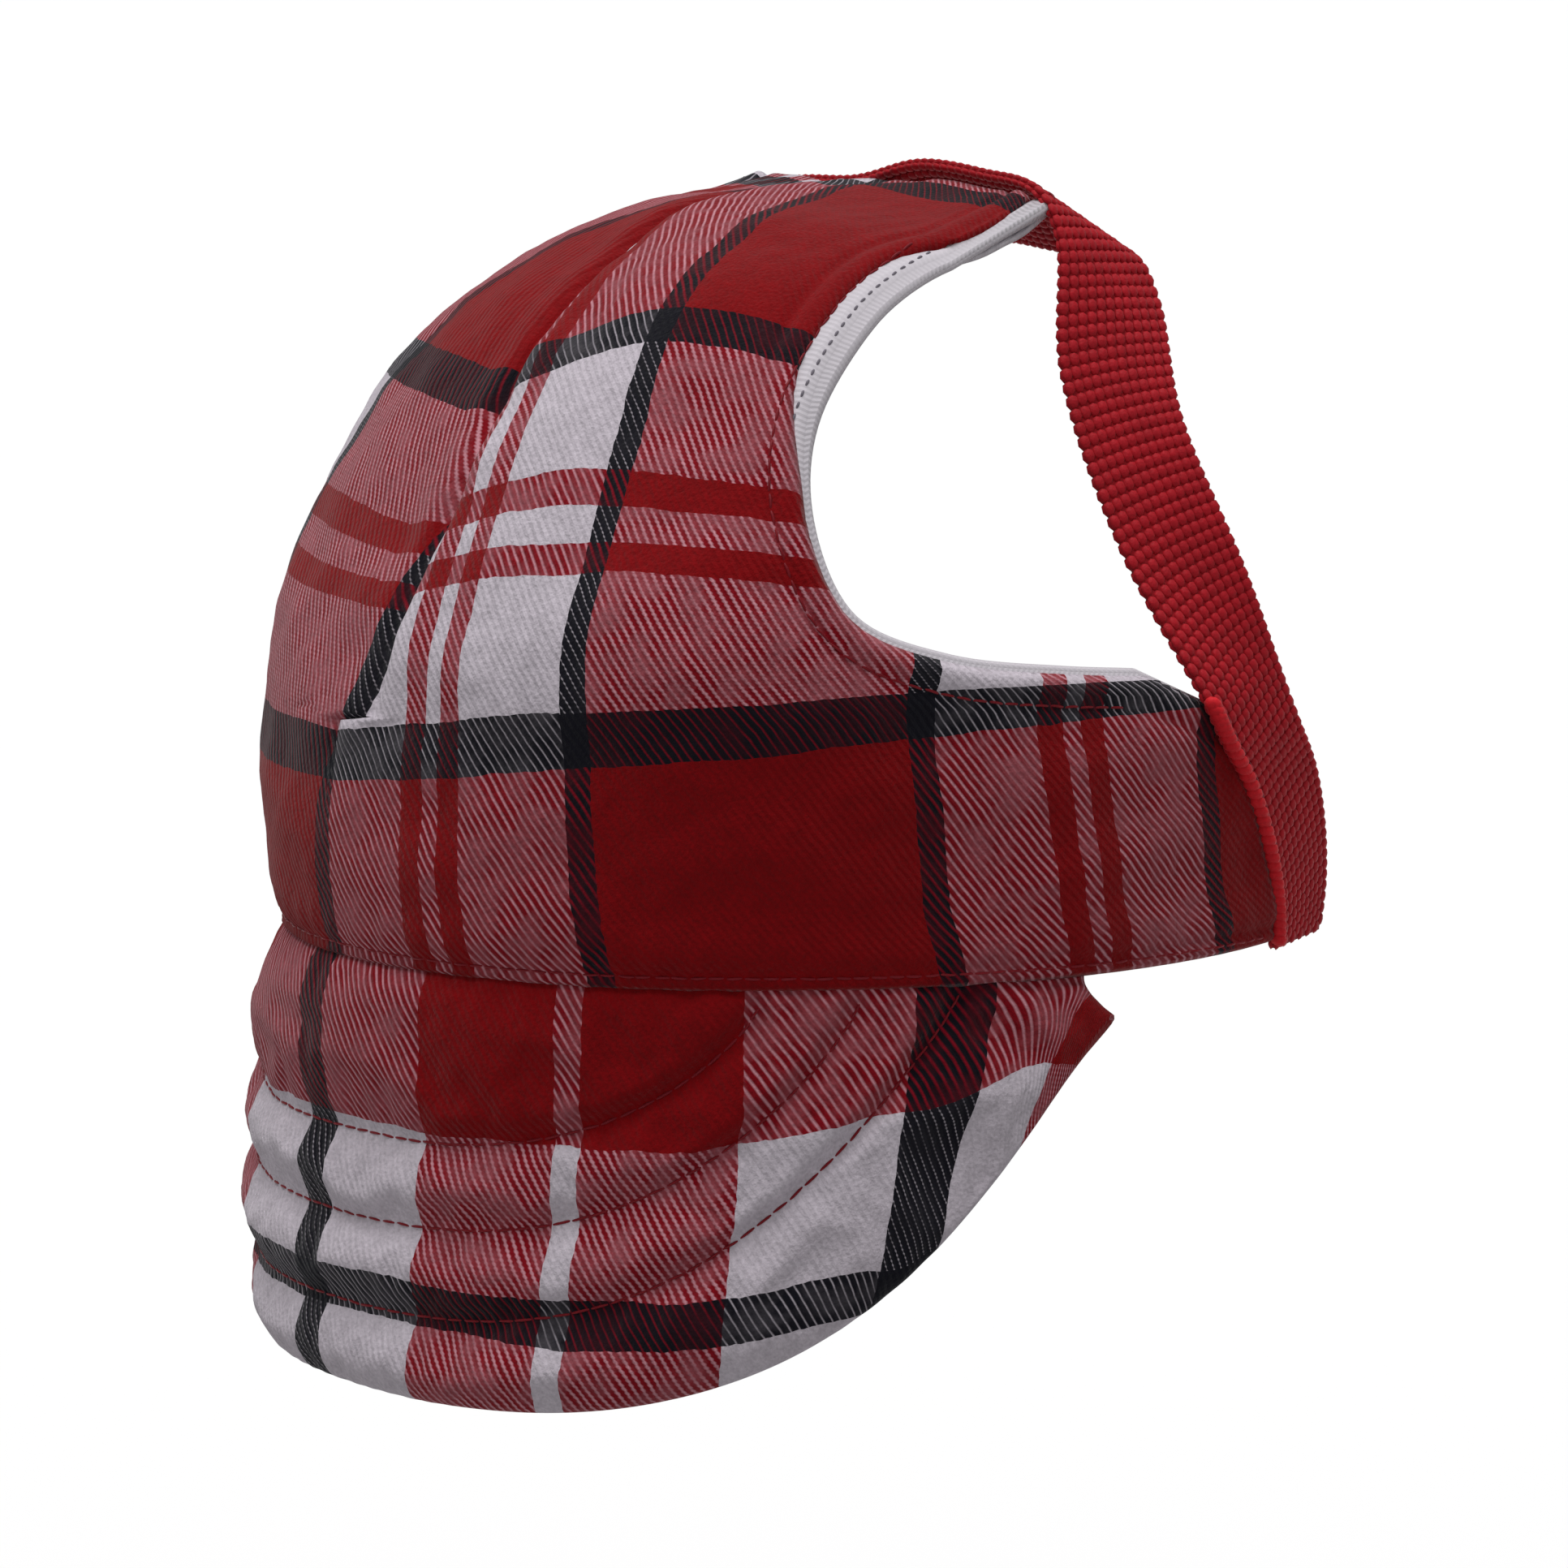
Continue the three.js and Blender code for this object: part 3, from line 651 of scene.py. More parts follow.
# %% Strips that follow a line
def sweep(name, line, outward, section, width=None):
    """A solid swept along a line of points: section is a list of (aside, out) about the line."""
    along = unit(np.gradient(line, axis=0))
    aside = unit(np.cross(along, outward))
    out = unit(np.cross(aside, along))
    ring = np.array(section, float)
    width = np.ones(len(line)) if width is None else width
    sideways = ring[None, :, :1] * width[:, None, None]
    points = line[:, None] + aside[:, None] * sideways + out[:, None] * ring[None, :, 1:]
    count, size = len(line), len(ring)
    i, j = np.meshgrid(np.arange(count - 1), np.arange(size), indexing="ij")
    a, b = i * size + j, i * size + (j + 1) % size
    faces = np.stack([a, b, b + size, a + size], -1).reshape(-1, 4).tolist()
    faces += [list(range(size))[::-1], [(count - 1) * size + k for k in range(size)]]
    round_it = np.cumsum(np.linalg.norm(np.roll(ring, -1, 0) - ring, axis=1))
    lengths = np.broadcast_arrays(round_it[None, :], travelled(line)[:, None])
    uv = np.stack(lengths, -1).reshape(-1, 2)
    corner_uv = np.concatenate([uv[f] for f in faces])
    piece = make_piece(name, points.reshape(-1, 3), faces, corner_uv)
    outside_in(piece)
    return piece


def outside_in(piece):
    """Turns every face of a closed piece outwards."""
    grid = bmesh.new()
    grid.from_mesh(piece.data)
    bmesh.ops.recalc_face_normals(grid, faces=grid.faces)
    grid.to_mesh(piece.data)
    grid.free()


def oval(aside, out, count):
    angles = np.linspace(0, 2 * math.pi, count, endpoint=False)
    return [(aside * math.cos(a), out * math.sin(a)) for a in angles]


def ear_line(side, inset=0.0, first=0, last=None):
    """Every second point along an ear opening's edge, and the cap's outward direction there."""
    path = ear_edge[first:last:2]
    height, turn = path[:, 0], path[:, 1]
    points, out = crown(height, turn), crown_out(height, turn)
    along = unit(np.gradient(points, axis=0))
    into = unit(np.cross(out, along))
    flip = np.array([side, 1, 1])
    return (points + into * inset) * flip, out * flip


def facing_strip(name, side):
    """Knit turned over the opening's edge, wide enough over the top to show past the flannel."""
    line, out = ear_line(side)
    width = STRIP_HALF + knit_showing(np.linspace(0, 1, len(line))) * STRIP_SHARE
    depth = lerp(2.6, 2.2, smooth(2, 4, width))
    along = unit(np.gradient(line, axis=0))
    into = unit(np.cross(out, along)) * side
    line = line - into * (width - STRIP_OVERHANG)[:, None] - out * depth[:, None]
    return sweep(f"ear_binding_knit_{name}", line, out, oval(1, STRIP_THICK, 16), width)


SIDES = {"left": 1, "right": -1}
STRIP_HALF, STRIP_SHARE = 1.5, 0.62  # half the strip's width, and how it grows with what shows
STRIP_OVERHANG = 1.1  # how far the strip passes the flannel's edge into the opening
STRIP_THICK = 1.35
bindings = {name: facing_strip(name, side) for name, side in SIDES.items()}

TAPE_HEIGHT, TAPE_MARGIN = 5.6, 0.06
TAPE_SECTION = oval(4.5, 0.35, 20)
turns = np.linspace(-BAND_END_HEM + TAPE_MARGIN, BAND_END_HEM - TAPE_MARGIN, 150)
tape_height = np.full(len(turns), share_at(TAPE_HEIGHT))
tape_out = crown_out(tape_height, turns)
tape_line = crown(tape_height, turns) - tape_out * (TAPE_DEPTH + 0.4)
hem_tape = sweep("hem_seam_tape", tape_line, tape_out, TAPE_SECTION)
print("tape, mm:", round(travelled(tape_line)[-1], 1))


# %% [markdown]
# ## The visor
# The visor is a thin foam sheet between two covers, quilted by three curved rows of stitches.
# A displaced sheet could fake the quilting, but real covers are a little larger than the foam
# and pucker between the rows. So the closed cover is simulated as cloth: the seam and the rows
# are pinned, slight pressure fills the channels, and the cloth is let grow by a few hundredths.

# %% Rows of quilting on the visor
ROW_POINTS = 160
ROW_START = 0.04  # depth at which the rows run out at the seam


def row_places(row):
    """Depth and place across of a row of quilting: an arch that starts and ends at the seam."""
    share = np.linspace(-0.999, 0.999, ROW_POINTS)
    drop = (1 - np.abs(share) ** VISOR_ROW_ROUNDNESS) ** VISOR_ROW_TAPER
    return VISOR_ROWS[row] * drop + ROW_START, share * VISOR_ROW_SPREAD[row]


quilt_lines = [visor(*row_places(row)) for row in range(len(VISOR_ROWS))]
all_rows = np.vstack([refined(line, 700) for line in quilt_lines])
print("quilting rows, mm:", [round(travelled(line)[-1], 1) for line in quilt_lines])

# %% The closed cover before it is filled
VISOR_STEP = 1.5
VISOR_TUCK = 0.04  # share of the depth that goes up inside the hem
FAR_SWELL = 5.0  # how far the soft visor leans out on its far side
PINCH, PINCH_WIDTH = 0.3, 2.2  # share of the full thickness left at a row, and the row's reach
EDGE_ROUND, EDGE_SHARE = 5.0, 0.22  # how far in the rounded edge reaches, and how thin it gets
VISOR_ARC = 272  # a little more than the length round the visor, so the cells stay narrow
END = 0.995  # the cover stops just short of the visor's pointed ends
UNDER_ACROSS, UNDER_UP = 96, 3  # where the under cover was cut from the same cloth
RIM_POINTS, END_POINTS = 600, 20
depth_cells, across_cells = int(VISOR_DEPTH / VISOR_STEP), int(VISOR_ARC / VISOR_STEP)
rows, cols = depth_cells + 1, across_cells + 1


def flat_grid(downs, rounds):
    """Every pair of a place down and a place round, as two flat arrays."""
    down, round_it = np.meshgrid(downs, rounds, indexing="ij")
    return down.ravel(), round_it.ravel()


v_depth, v_across = flat_grid(np.linspace(-VISOR_TUCK, 1, rows), np.linspace(-END, END, cols))
visor_base = visor(v_depth, v_across)
visor_normal = visor_out(v_depth, v_across)
off_row = nearest(visor_base, all_rows)
round_rim, down_end = np.linspace(-END, END, RIM_POINTS), np.linspace(0, 1, END_POINTS)
rim = np.vstack([
    visor(np.ones(RIM_POINTS), round_rim),
    visor(np.full(RIM_POINTS, -VISOR_TUCK), round_rim),
    visor(down_end, np.full(END_POINTS, END)),
    visor(down_end, np.full(END_POINTS, -END)),
])
off_rim = nearest(visor_base, rim)
swell = np.sqrt(np.clip(1 - (1 - np.clip(off_rim / EDGE_ROUND, 0, 1)) ** 2, 0, 1))
half = VISOR_THICKNESS / 2 * (EDGE_SHARE + (1 - EDGE_SHARE) * swell)
half = half * (1 - (1 - PINCH) * bell(off_row, PINCH_WIDTH))
lean_out = FAR_SWELL * bell(v_across + 0.38, 0.26)
lean_out = lean_out * smooth(0.0, 0.3, v_depth) * (1 - smooth(0.72, 1.05, v_depth))
wave = 0.5 * soft_noise(visor_base, 38, 21) * smooth(4, 18, -visor_base[:, 2])
middle = visor_base - visor_normal * (VISOR_THICKNESS / 2)
middle = middle + visor_normal * lean_out[:, None]
middle = middle + visor_normal * wave[:, None]
front_face = middle + visor_normal * half[:, None]
back_face = middle - visor_normal * half[:, None]
count = len(visor_base)


def border(rows, cols):
    """Vertices round the outside of a grid, in order."""
    first, last = list(range(cols)), [i * cols + cols - 1 for i in range(1, rows)]
    below = [(rows - 1) * cols + j for j in range(cols - 2, -1, -1)]
    return first + last + below + [i * cols for i in range(rows - 2, 0, -1)]


ring = border(rows, cols)
top_faces = quads(depth_cells, across_cells)[:, ::-1]
under_faces = top_faces[:, ::-1] + count
rim_faces = np.array([[a, b, b + count, a + count] for a, b in zip(ring, ring[1:] + ring[:1])])
visor_arc = lengths_across(visor_base.reshape(rows, cols, 3)).ravel()
from_middle = np.abs(visor_arc)
visor_up = -visor_base[:, 2] + 5 * smooth(60, 95, from_middle) + 6 * smooth(95, 122, from_middle)
top_uv = np.stack([visor_arc, visor_up], -1)
under_uv = top_uv + [UNDER_ACROSS, UNDER_UP]
corner_uv = np.concatenate([
    top_uv[top_faces].reshape(-1, 2),
    under_uv[under_faces - count].reshape(-1, 2),
    top_uv[rim_faces % count].reshape(-1, 2),
])
faces = np.vstack([top_faces, under_faces, rim_faces])
visor_pad = make_piece("visor_quilted_pad", np.vstack([front_face, back_face]), faces, corner_uv)
outside_in(visor_pad)
print("visor cover before filling:", len(faces), "faces")


# %% Fill the cover by cloth simulation
def fill_cover(piece, held, frames=18, pressure=3.0, growth=0.03, cap=2.2):
    """Inflates a closed cover whose held points stay in place, and limits how far it moves."""
    group = piece.vertex_groups.new(name="held")
    for i, weight in enumerate(held):
        if weight > 0.02:
            group.add([i], float(weight), "REPLACE")
    start = np.zeros(len(piece.data.vertices) * 3)
    piece.data.vertices.foreach_get("co", start)
    cloth = piece.modifiers.new("filling", "CLOTH")
    cloth.settings.vertex_group_mass = "held"
    cloth.settings.use_pressure = True
    cloth.settings.uniform_pressure_force = pressure
    cloth.settings.shrink_min = -growth
    cloth.settings.quality = 6
    cloth.settings.tension_stiffness = 20
    cloth.settings.compression_stiffness = 20
    cloth.settings.bending_stiffness = 0.4
    cloth.settings.effector_weights.gravity = 0
    cloth.point_cache.frame_start, cloth.point_cache.frame_end = 1, frames
    scene = bpy.context.scene
    for number in range(1, frames + 1):
        scene.frame_set(number)
    graph = bpy.context.evaluated_depsgraph_get()
    end = np.zeros_like(start)
    piece.evaluated_get(graph).data.vertices.foreach_get("co", end)
    scene.frame_set(1)
    piece.modifiers.clear()
    move = (end - start).reshape(-1, 3)
    size = np.linalg.norm(move, axis=1, keepdims=True)
    move *= np.minimum(1, cap * MM / np.maximum(size, 1e-9))
    piece.data.vertices.foreach_set("co", (start.reshape(-1, 3) + move).ravel())
    piece.data.update()
    print("cover filled, largest and mean move, mm:", float(size.max() / MM), float(size.mean() / MM))


held = np.clip(bell(off_row, 0.9) * 1.6, 0, 1)
held = np.maximum(held, (off_rim < 0.6).astype(float))
fill_cover(visor_pad, np.concatenate([held, held]))
finer = visor_pad.modifiers.new("finer", "SUBSURF")
finer.levels = finer.render_levels = 1
apply_modifiers(visor_pad)

# %% Foam inside the visor
FOAM_DEPTH = 2.5
FOAM = 1.3 * 0.6  # the sheet's thickness, pressed to this share by the quilting
FOAM_ROWS, FOAM_COLUMNS = 14, 60
f_depth, f_across = flat_grid(
    np.linspace(0.05, 0.95, FOAM_ROWS), np.linspace(-0.93, 0.93, FOAM_COLUMNS)
)
foam_base = visor(f_depth, f_across) - visor_out(f_depth, f_across) * FOAM_DEPTH
foam_faces = quads(FOAM_ROWS - 1, FOAM_COLUMNS - 1)[:, ::-1]
foam_core = thicken(make_piece("visor_foam_core", foam_base, foam_faces), FOAM)
print("foam sheet:", len(foam_core.data.polygons), "faces")


# %% [markdown]
# ## The webbing strap
# One length of red webbing closes the back. Its face could be a bump map, but the webbing is
# seen edge on, where only real yarns give the toothed outline. Geometry Nodes lay one short
# float of yarn on each crossing of the weave, every second column half a step along.

# %% The strap's path
BAND_SHARES = (-0.02, 0.2, 0.45, 0.7, 0.9, 1.03)  # stations up the band's end
FREE_SHARES = (0.3, 0.65)  # stations on the free stretch, between band and crown
STRAP_SAG = 7  # how far the free stretch bends off the straight line
SAG_DIRECTION = (-0.5, -0.85, 0)
STRAP_TILT = math.radians(38)  # how far the strap's width hangs down behind the rear edge
SEAM_GAP = 0.4  # between the strap's edge and the cloth's
STRAP_WRAP = math.radians(15)  # how far round the oval the strap's width reaches
TUCK, TUCK_DEPTH = 4.0, 2.2  # how far the strap goes under the band at its upper corner
STRAP_FLARE = 0.55  # how far the free stretch turns its rear edge outwards


def strap_stations():
    """Front edge and direction across the strap, from the left band end to the middle of the top."""
    stations = []
    for share in BAND_SHARES:
        z = share * BAND_HEIGHT
        turn, height = band_end(z), share_at(z)
        edge = crown(height, turn) + [0, 0, min(z, 0)]
        along = unit((crown(height, turn + STRAP_WRAP) - edge) * [1, 1, 0])
        tucked = smooth(0.6, 1, share)
        inwards = unit(np.cross(along, [0, 0, 1]) * -1) * TUCK_DEPTH * tucked
        stations.append((edge + along * (SEAM_GAP - TUCK * tucked) - inwards, along))
    corner = np.array([REAR_EDGE / 2, from_front(CROWN_DEPTH) + SEAM_GAP, CROWN_HEIGHT])
    foot, foot_across = stations[-1]
    backwards = np.array([0, math.cos(STRAP_TILT), -math.sin(STRAP_TILT)])
    for share in FREE_SHARES:
        sag = STRAP_SAG * math.sin(math.pi * share)
        edge = lerp(foot, corner, share) + np.array(SAG_DIRECTION) * sag
        flare = np.array([STRAP_FLARE, 0, 0]) * math.sin(math.pi * share)
        stations.append((edge, unit(lerp(foot_across, backwards, share) + flare)))
    x, y, z = corner
    at_corner = unit(backwards + [0.15, 0, 0.1])
    for place, way in (
        ((x + 1.5, y + 1, z - 6), at_corner),
        ((x - 3.5, y + 0.4, z + 0.6), at_corner),
        ((x * 0.6, y, z + 2.8), backwards),
        ((x * 0.2, y, z + 3.6), backwards),
    ):
        stations.append((np.array(place), way))
    return stations


half_strap = strap_stations()
flip = np.array([-1, 1, 1])
far_half = [(e * flip, a * flip) for e, a in half_strap[::-1]]
FAR_DROP = np.array([0, 0, -3.0])  # the soft arch hangs lower on its far side
for place in range(3):
    far_half[place] = (far_half[place][0] + FAR_DROP, far_half[place][1])
stations = half_strap + far_half
strap_front = spline([e for e, _ in stations])
strap_rear = spline([e + a * STRAP_WIDTH for e, a in stations])


def strap(width, run):
    """Outer face of the strap: run 0 to 1 from left to right over the top, width 0 to 1 back."""
    run = np.atleast_1d(run)
    return lerp(strap_front(run), strap_rear(run), np.reshape(width, (-1, 1)))


fine_run = np.linspace(0, 1, 1600)
strap_travelled = travelled(strap(0.5, fine_run))
strap_length = strap_travelled[-1]
print("webbing length along the strap, mm:", round(strap_length, 1))


def run_at(length):
    return np.interp(length, strap_travelled, fine_run)


def strap_frame(width, run, step=0.0015):
    """Point, direction along, and outward direction on the strap."""
    here = strap(width, run)
    along = unit(strap(width, run + step) - strap(width, run - step))
    across = unit(strap(1, run) - strap(0, run))
    return here, along, unit(np.cross(across, along))


# %% The strap's core and the points of its weave
WEAVE_PITCH = 1.95
WEAVE_COLUMNS = 12
WEAVE_START, WEAVE_END = 0.9, 0.6  # bare webbing before the first float and after the last
YARN_DEPTH = 0.3  # how far the floats are sunk below the strap's face
CORE, CORE_STEP = 0.8, 1.2  # the core's thickness, and the length of its faces
lengths = np.linspace(0, strap_length, int(strap_length / CORE_STEP))
widths = np.linspace(0.02, 0.98, 9)
core_frames = [strap_frame(np.full(len(lengths), w), run_at(lengths)) for w in widths]
core_out = np.stack([out for _, _, out in core_frames])
core_points = np.stack([here for here, _, _ in core_frames]) - core_out * YARN_DEPTH
core_faces = quads(len(widths) - 1, len(lengths) - 1)
strap_core = make_piece("strap_core", core_points.reshape(-1, 3), core_faces)
side_check = core_out.reshape(-1, 3)[core_faces[0][0]] @ np.array(strap_core.data.polygons[0].normal)
if side_check < 0:
    strap_core.data.flip_normals()
thicken(strap_core, CORE)

weave_points, weave_along, weave_out = [], [], []
for face in (1, -1):
    for column in range(WEAVE_COLUMNS):
        width = (column + 0.5) / WEAVE_COLUMNS
        start = WEAVE_START + (column % 2) * WEAVE_PITCH / 2
        marks = np.arange(start, strap_length - WEAVE_END, WEAVE_PITCH)
        here, along, out = strap_frame(np.full(len(marks), width), run_at(marks))
        weave_points.append(here - out * (YARN_DEPTH if face > 0 else YARN_DEPTH + CORE))
        weave_along.append(along)
        weave_out.append(out * face)
weave_points, weave_along, weave_out = (np.vstack(a) for a in (weave_points, weave_along, weave_out))
print("yarn floats on the webbing:", len(weave_points))


# %% Build Geometry Nodes trees from Python
class Wires:
    """A node tree being built: node() adds any node by its type, settings and socket values."""

    def __init__(self, tree):
        self.tree = tree

    def node(self, kind, settings=(), inputs=()):
        made = self.tree.nodes.new(kind)
        for key, value in dict(settings).items():
            if key == "stops":
                self.set_stops(made.color_ramp, value)
            else:
                setattr(made, key, value)
        for key, value in dict(inputs).items():
            socket = self.find(made.inputs, key)
            if isinstance(value, Wire):
                self.tree.links.new(value.socket, socket)
            elif isinstance(value, bpy.types.NodeSocket):
                self.tree.links.new(value, socket)
            else:
                socket.default_value = value
        return made

    @staticmethod
    def find(sockets, key):
        if isinstance(key, int):
            return sockets[key]
        matches = [s for s in sockets if s.identifier == key]
        return matches[0] if matches else sockets[key]

    @staticmethod
    def set_stops(ramp, stops):
        ramp.interpolation = "CONSTANT"
        while len(ramp.elements) > 1:
            ramp.elements.remove(ramp.elements[-1])
        ramp.elements[0].position, ramp.elements[0].color = stops[0]
        for place, colour in stops[1:]:
            ramp.elements.new(place).color = colour


class Wire:
    """One number carried by a socket: adding, multiplying and so on add Math nodes."""

    def __init__(self, wires, socket):
        self.wires, self.socket = wires, socket

    def math(self, operation, *others, clamp=False):
        made = self.wires.tree.nodes.new("ShaderNodeMath")
        made.operation, made.use_clamp = operation, clamp
        for i, value in enumerate((self, *others)):
            if isinstance(value, Wire):
                self.wires.tree.links.new(value.socket, made.inputs[i])
            else:
                made.inputs[i].default_value = value
        return Wire(self.wires, made.outputs[0])

    def reflected(self, operation, other):
        made = self.wires.tree.nodes.new("ShaderNodeMath")
        made.operation = operation
        made.inputs[0].default_value = other
        self.wires.tree.links.new(self.socket, made.inputs[1])
        return Wire(self.wires, made.outputs[0])

    def __add__(self, other):
        return self.math("ADD", other)

    def __sub__(self, other):
        return self.math("SUBTRACT", other)

    def __mul__(self, other):
        return self.math("MULTIPLY", other)

    def __truediv__(self, other):
        return self.math("DIVIDE", other)

    def __radd__(self, other):
        return self.reflected("ADD", other)

    def __rsub__(self, other):
        return self.reflected("SUBTRACT", other)

    def __rmul__(self, other):
        return self.reflected("MULTIPLY", other)

    def fraction(self):
        return self.math("FRACT")

    def size(self):
        return self.math("ABSOLUTE")

    def clamped(self):
        return self.math("ADD", 0.0, clamp=True)


def new_tree(name, sizes):
    """A Geometry Nodes tree with a Geometry input, named sizes and a Material."""
    tree = bpy.data.node_groups.new(name, "GeometryNodeTree")
    tree.interface.new_socket("Geometry", in_out="INPUT", socket_type="NodeSocketGeometry")
    for key, value in sizes.items():
        socket = tree.interface.new_socket(key, in_out="INPUT", socket_type="NodeSocketFloat")
        socket.default_value = value
    tree.interface.new_socket("Material", in_out="INPUT", socket_type="NodeSocketMaterial")
    tree.interface.new_socket("Geometry", in_out="OUTPUT", socket_type="NodeSocketGeometry")
    return tree, Wires(tree), tree.nodes.new("NodeGroupInput")


def stored(wires, name):
    """A direction kept on the points."""
    kind = {"data_type": "FLOAT_VECTOR"}
    return wires.node("GeometryNodeInputNamedAttribute", kind, {"Name": name}).outputs[0]


def facing(wires, along):
    """Rotation that lays X along a direction and turns Z to the stored outward direction."""
    first = wires.node("FunctionNodeAlignRotationToVector", {"axis": "X"}, {"Vector": along})
    turned = wires.node(
        "FunctionNodeAlignRotationToVector", {"axis": "Z", "pivot_axis": "X"},
        {"Rotation": first.outputs[0], "Vector": stored(wires, "outward")},
    )
    return turned.outputs[0]


def finish_tree(wires, start, geometry):
    """Ends a tree: instances made real, and the material set."""
    real = wires.node("GeometryNodeRealizeInstances", {}, {"Geometry": geometry})
    dyed = wires.node("GeometryNodeSetMaterial", {}, {
        "Geometry": real.outputs[0], "Material": start.outputs["Material"],
    })
    end = wires.tree.nodes.new("NodeGroupOutput")
    wires.tree.links.new(dyed.outputs[0], end.inputs[0])


def float_tree():
    """Lays one yarn float, a flattened ball, on each point."""
    tree, wires, start = new_tree("yarn floats", {"Length": 0.002, "Width": 0.0016, "Height": 0.0006})
    ball = wires.node("GeometryNodeMeshUVSphere", {}, {"Segments": 7, "Rings": 4, "Radius": 0.5})
    smooth_ball = wires.node("GeometryNodeSetShadeSmooth", {}, {"Geometry": ball.outputs[0]})
    size = wires.node("ShaderNodeCombineXYZ", {}, {
        "X": start.outputs["Length"], "Y": start.outputs["Width"], "Z": start.outputs["Height"],
    })
    laid = wires.node("GeometryNodeInstanceOnPoints", {}, {
        "Points": start.outputs["Geometry"], "Instance": smooth_ball.outputs[0],
        "Rotation": facing(wires, stored(wires, "along")), "Scale": size.outputs[0],
    })
    finish_tree(wires, start, laid.outputs[0])
    return tree


def stitch_tree():
    """Walks along each line and lays one arched stitch of thread at every step."""
    tree, wires, start = new_tree("stitches", {"Pitch": 0.0026, "Length": 0.0023, "Radius": 0.0003})
    radius = Wire(wires, start.outputs["Radius"])
    length = Wire(wires, start.outputs["Length"])
    line = wires.node("GeometryNodeMeshToCurve", {}, {"Mesh": start.outputs["Geometry"]})
    even_line = wires.node("GeometryNodeResampleCurve", {"mode": "LENGTH"}, {
        "Curve": line.outputs[0], "Length": start.outputs["Pitch"],
    })
    places = wires.node("GeometryNodeCurveToPoints", {"mode": "EVALUATED"}, {
        "Curve": even_line.outputs[0],
    })

    def point(along, out):
        made = wires.node("ShaderNodeCombineXYZ", {}, {"X": length * along, "Z": radius * out})
        return made.outputs[0]

    arch = wires.node("GeometryNodeCurvePrimitiveBezierSegment", {}, {
        "Resolution": 7, "Start": point(-0.5, -1.5), "Start Handle": point(-0.36, 0.9),
        "End Handle": point(0.36, 0.9), "End": point(0.5, -1.5),
    })
    ring = wires.node("GeometryNodeCurvePrimitiveCircle", {}, {
        "Resolution": 6, "Radius": start.outputs["Radius"],
    })
    thread = wires.node("GeometryNodeCurveToMesh", {}, {
        "Curve": arch.outputs[0], "Profile Curve": ring.outputs[0], "Fill Caps": True,
    })
    smooth_thread = wires.node("GeometryNodeSetShadeSmooth", {}, {"Geometry": thread.outputs[0]})
    sway = wires.node("FunctionNodeRandomValue", {"data_type": "FLOAT"}, {
        "Min_001": -0.09, "Max_001": 0.09, "Seed": 7,
    })
    yaw = wires.node("ShaderNodeCombineXYZ", {}, {"Z": sway.outputs["Value"]})
    laid = wires.node("GeometryNodeInstanceOnPoints", {}, {
        "Points": places.outputs[0], "Instance": smooth_thread.outputs[0],
        "Rotation": facing(wires, places.outputs["Tangent"]),
    })
    turned = wires.node("GeometryNodeRotateInstances", {}, {
        "Instances": laid.outputs[0], "Rotation": yaw.outputs[0],
    })
    finish_tree(wires, start, turned.outputs[0])
    return tree


FLOATS, STITCHES = float_tree(), stitch_tree()


def grown(name, points, vectors, tree, sizes, material, edges=()):
    """Runs a tree on points that carry named directions, and keeps the result as a plain mesh."""
    mesh = bpy.data.meshes.new(name)
    mesh.from_pydata((np.asarray(points) * MM).tolist(), list(edges), [])
    for key, values in vectors.items():
        stored = mesh.attributes.new(key, "FLOAT_VECTOR", "POINT")
        stored.data.foreach_set("vector", np.asarray(values, np.float32).ravel())
    piece = bpy.data.objects.new(name, mesh)
    bpy.context.scene.collection.objects.link(piece)
    grower = piece.modifiers.new("grow", "NODES")
    grower.node_group = tree
    for item in tree.interface.items_tree:
        if item.in_out == "INPUT" and item.name in sizes:
            grower[item.identifier] = sizes[item.name] * MM
        if item.in_out == "INPUT" and item.name == "Material":
            grower[item.identifier] = material
    piece.update_tag()
    graph = bpy.context.evaluated_depsgraph_get()
    made = bpy.data.meshes.new_from_object(piece.evaluated_get(graph), depsgraph=graph)
    piece.modifiers.clear()
    piece.data = made
    made.name = name
    print(name, len(made.polygons), "faces")
    return piece


def sewn(name, line, outward, material, pitch=2.6, length=2.4, radius=0.2, lift=0.0):
    """A row of stitches along a line that lies on a cloth's face."""
    points = np.asarray(line) + np.asarray(outward) * lift
    edges = [(i, i + 1) for i in range(len(points) - 1)]
    sizes = {"Pitch": pitch, "Length": length, "Radius": radius}
    return grown(name, points, {"outward": outward}, STITCHES, sizes, material, edges)


# %% [markdown]
# ## Finishes
# Each finish is built from the cloth's own lengths, so a stripe is woven, not painted: warp and
# weft each carry their own run of colours, and a diagonal twill decides which of the two is on
# top. Bumps could come from a texture of the finished cloth, but the same diagonal gives them
# for nothing. One class wraps the sockets so the sums read like sums.

# %% A material from a short recipe
def srgb(red, green, blue):
    """A colour given as 0 to 255 screen values, as the light it stands for."""
    def light(value):
        share = value / 255
        return share / 12.92 if share <= 0.04045 else ((share + 0.055) / 1.055) ** 2.4
    return (light(red), light(green), light(blue), 1.0)


RED, WHITE, BLACK = srgb(128, 6, 29), srgb(198, 189, 198), srgb(14, 13, 22)
WEBBING, THREAD, KNIT = srgb(168, 14, 29), srgb(120, 10, 24), srgb(216, 210, 217)
RED_FUZZ = (0.98, 0.12, 0.17, 1.0)  # what red fibres brushed across it leave of a white thread


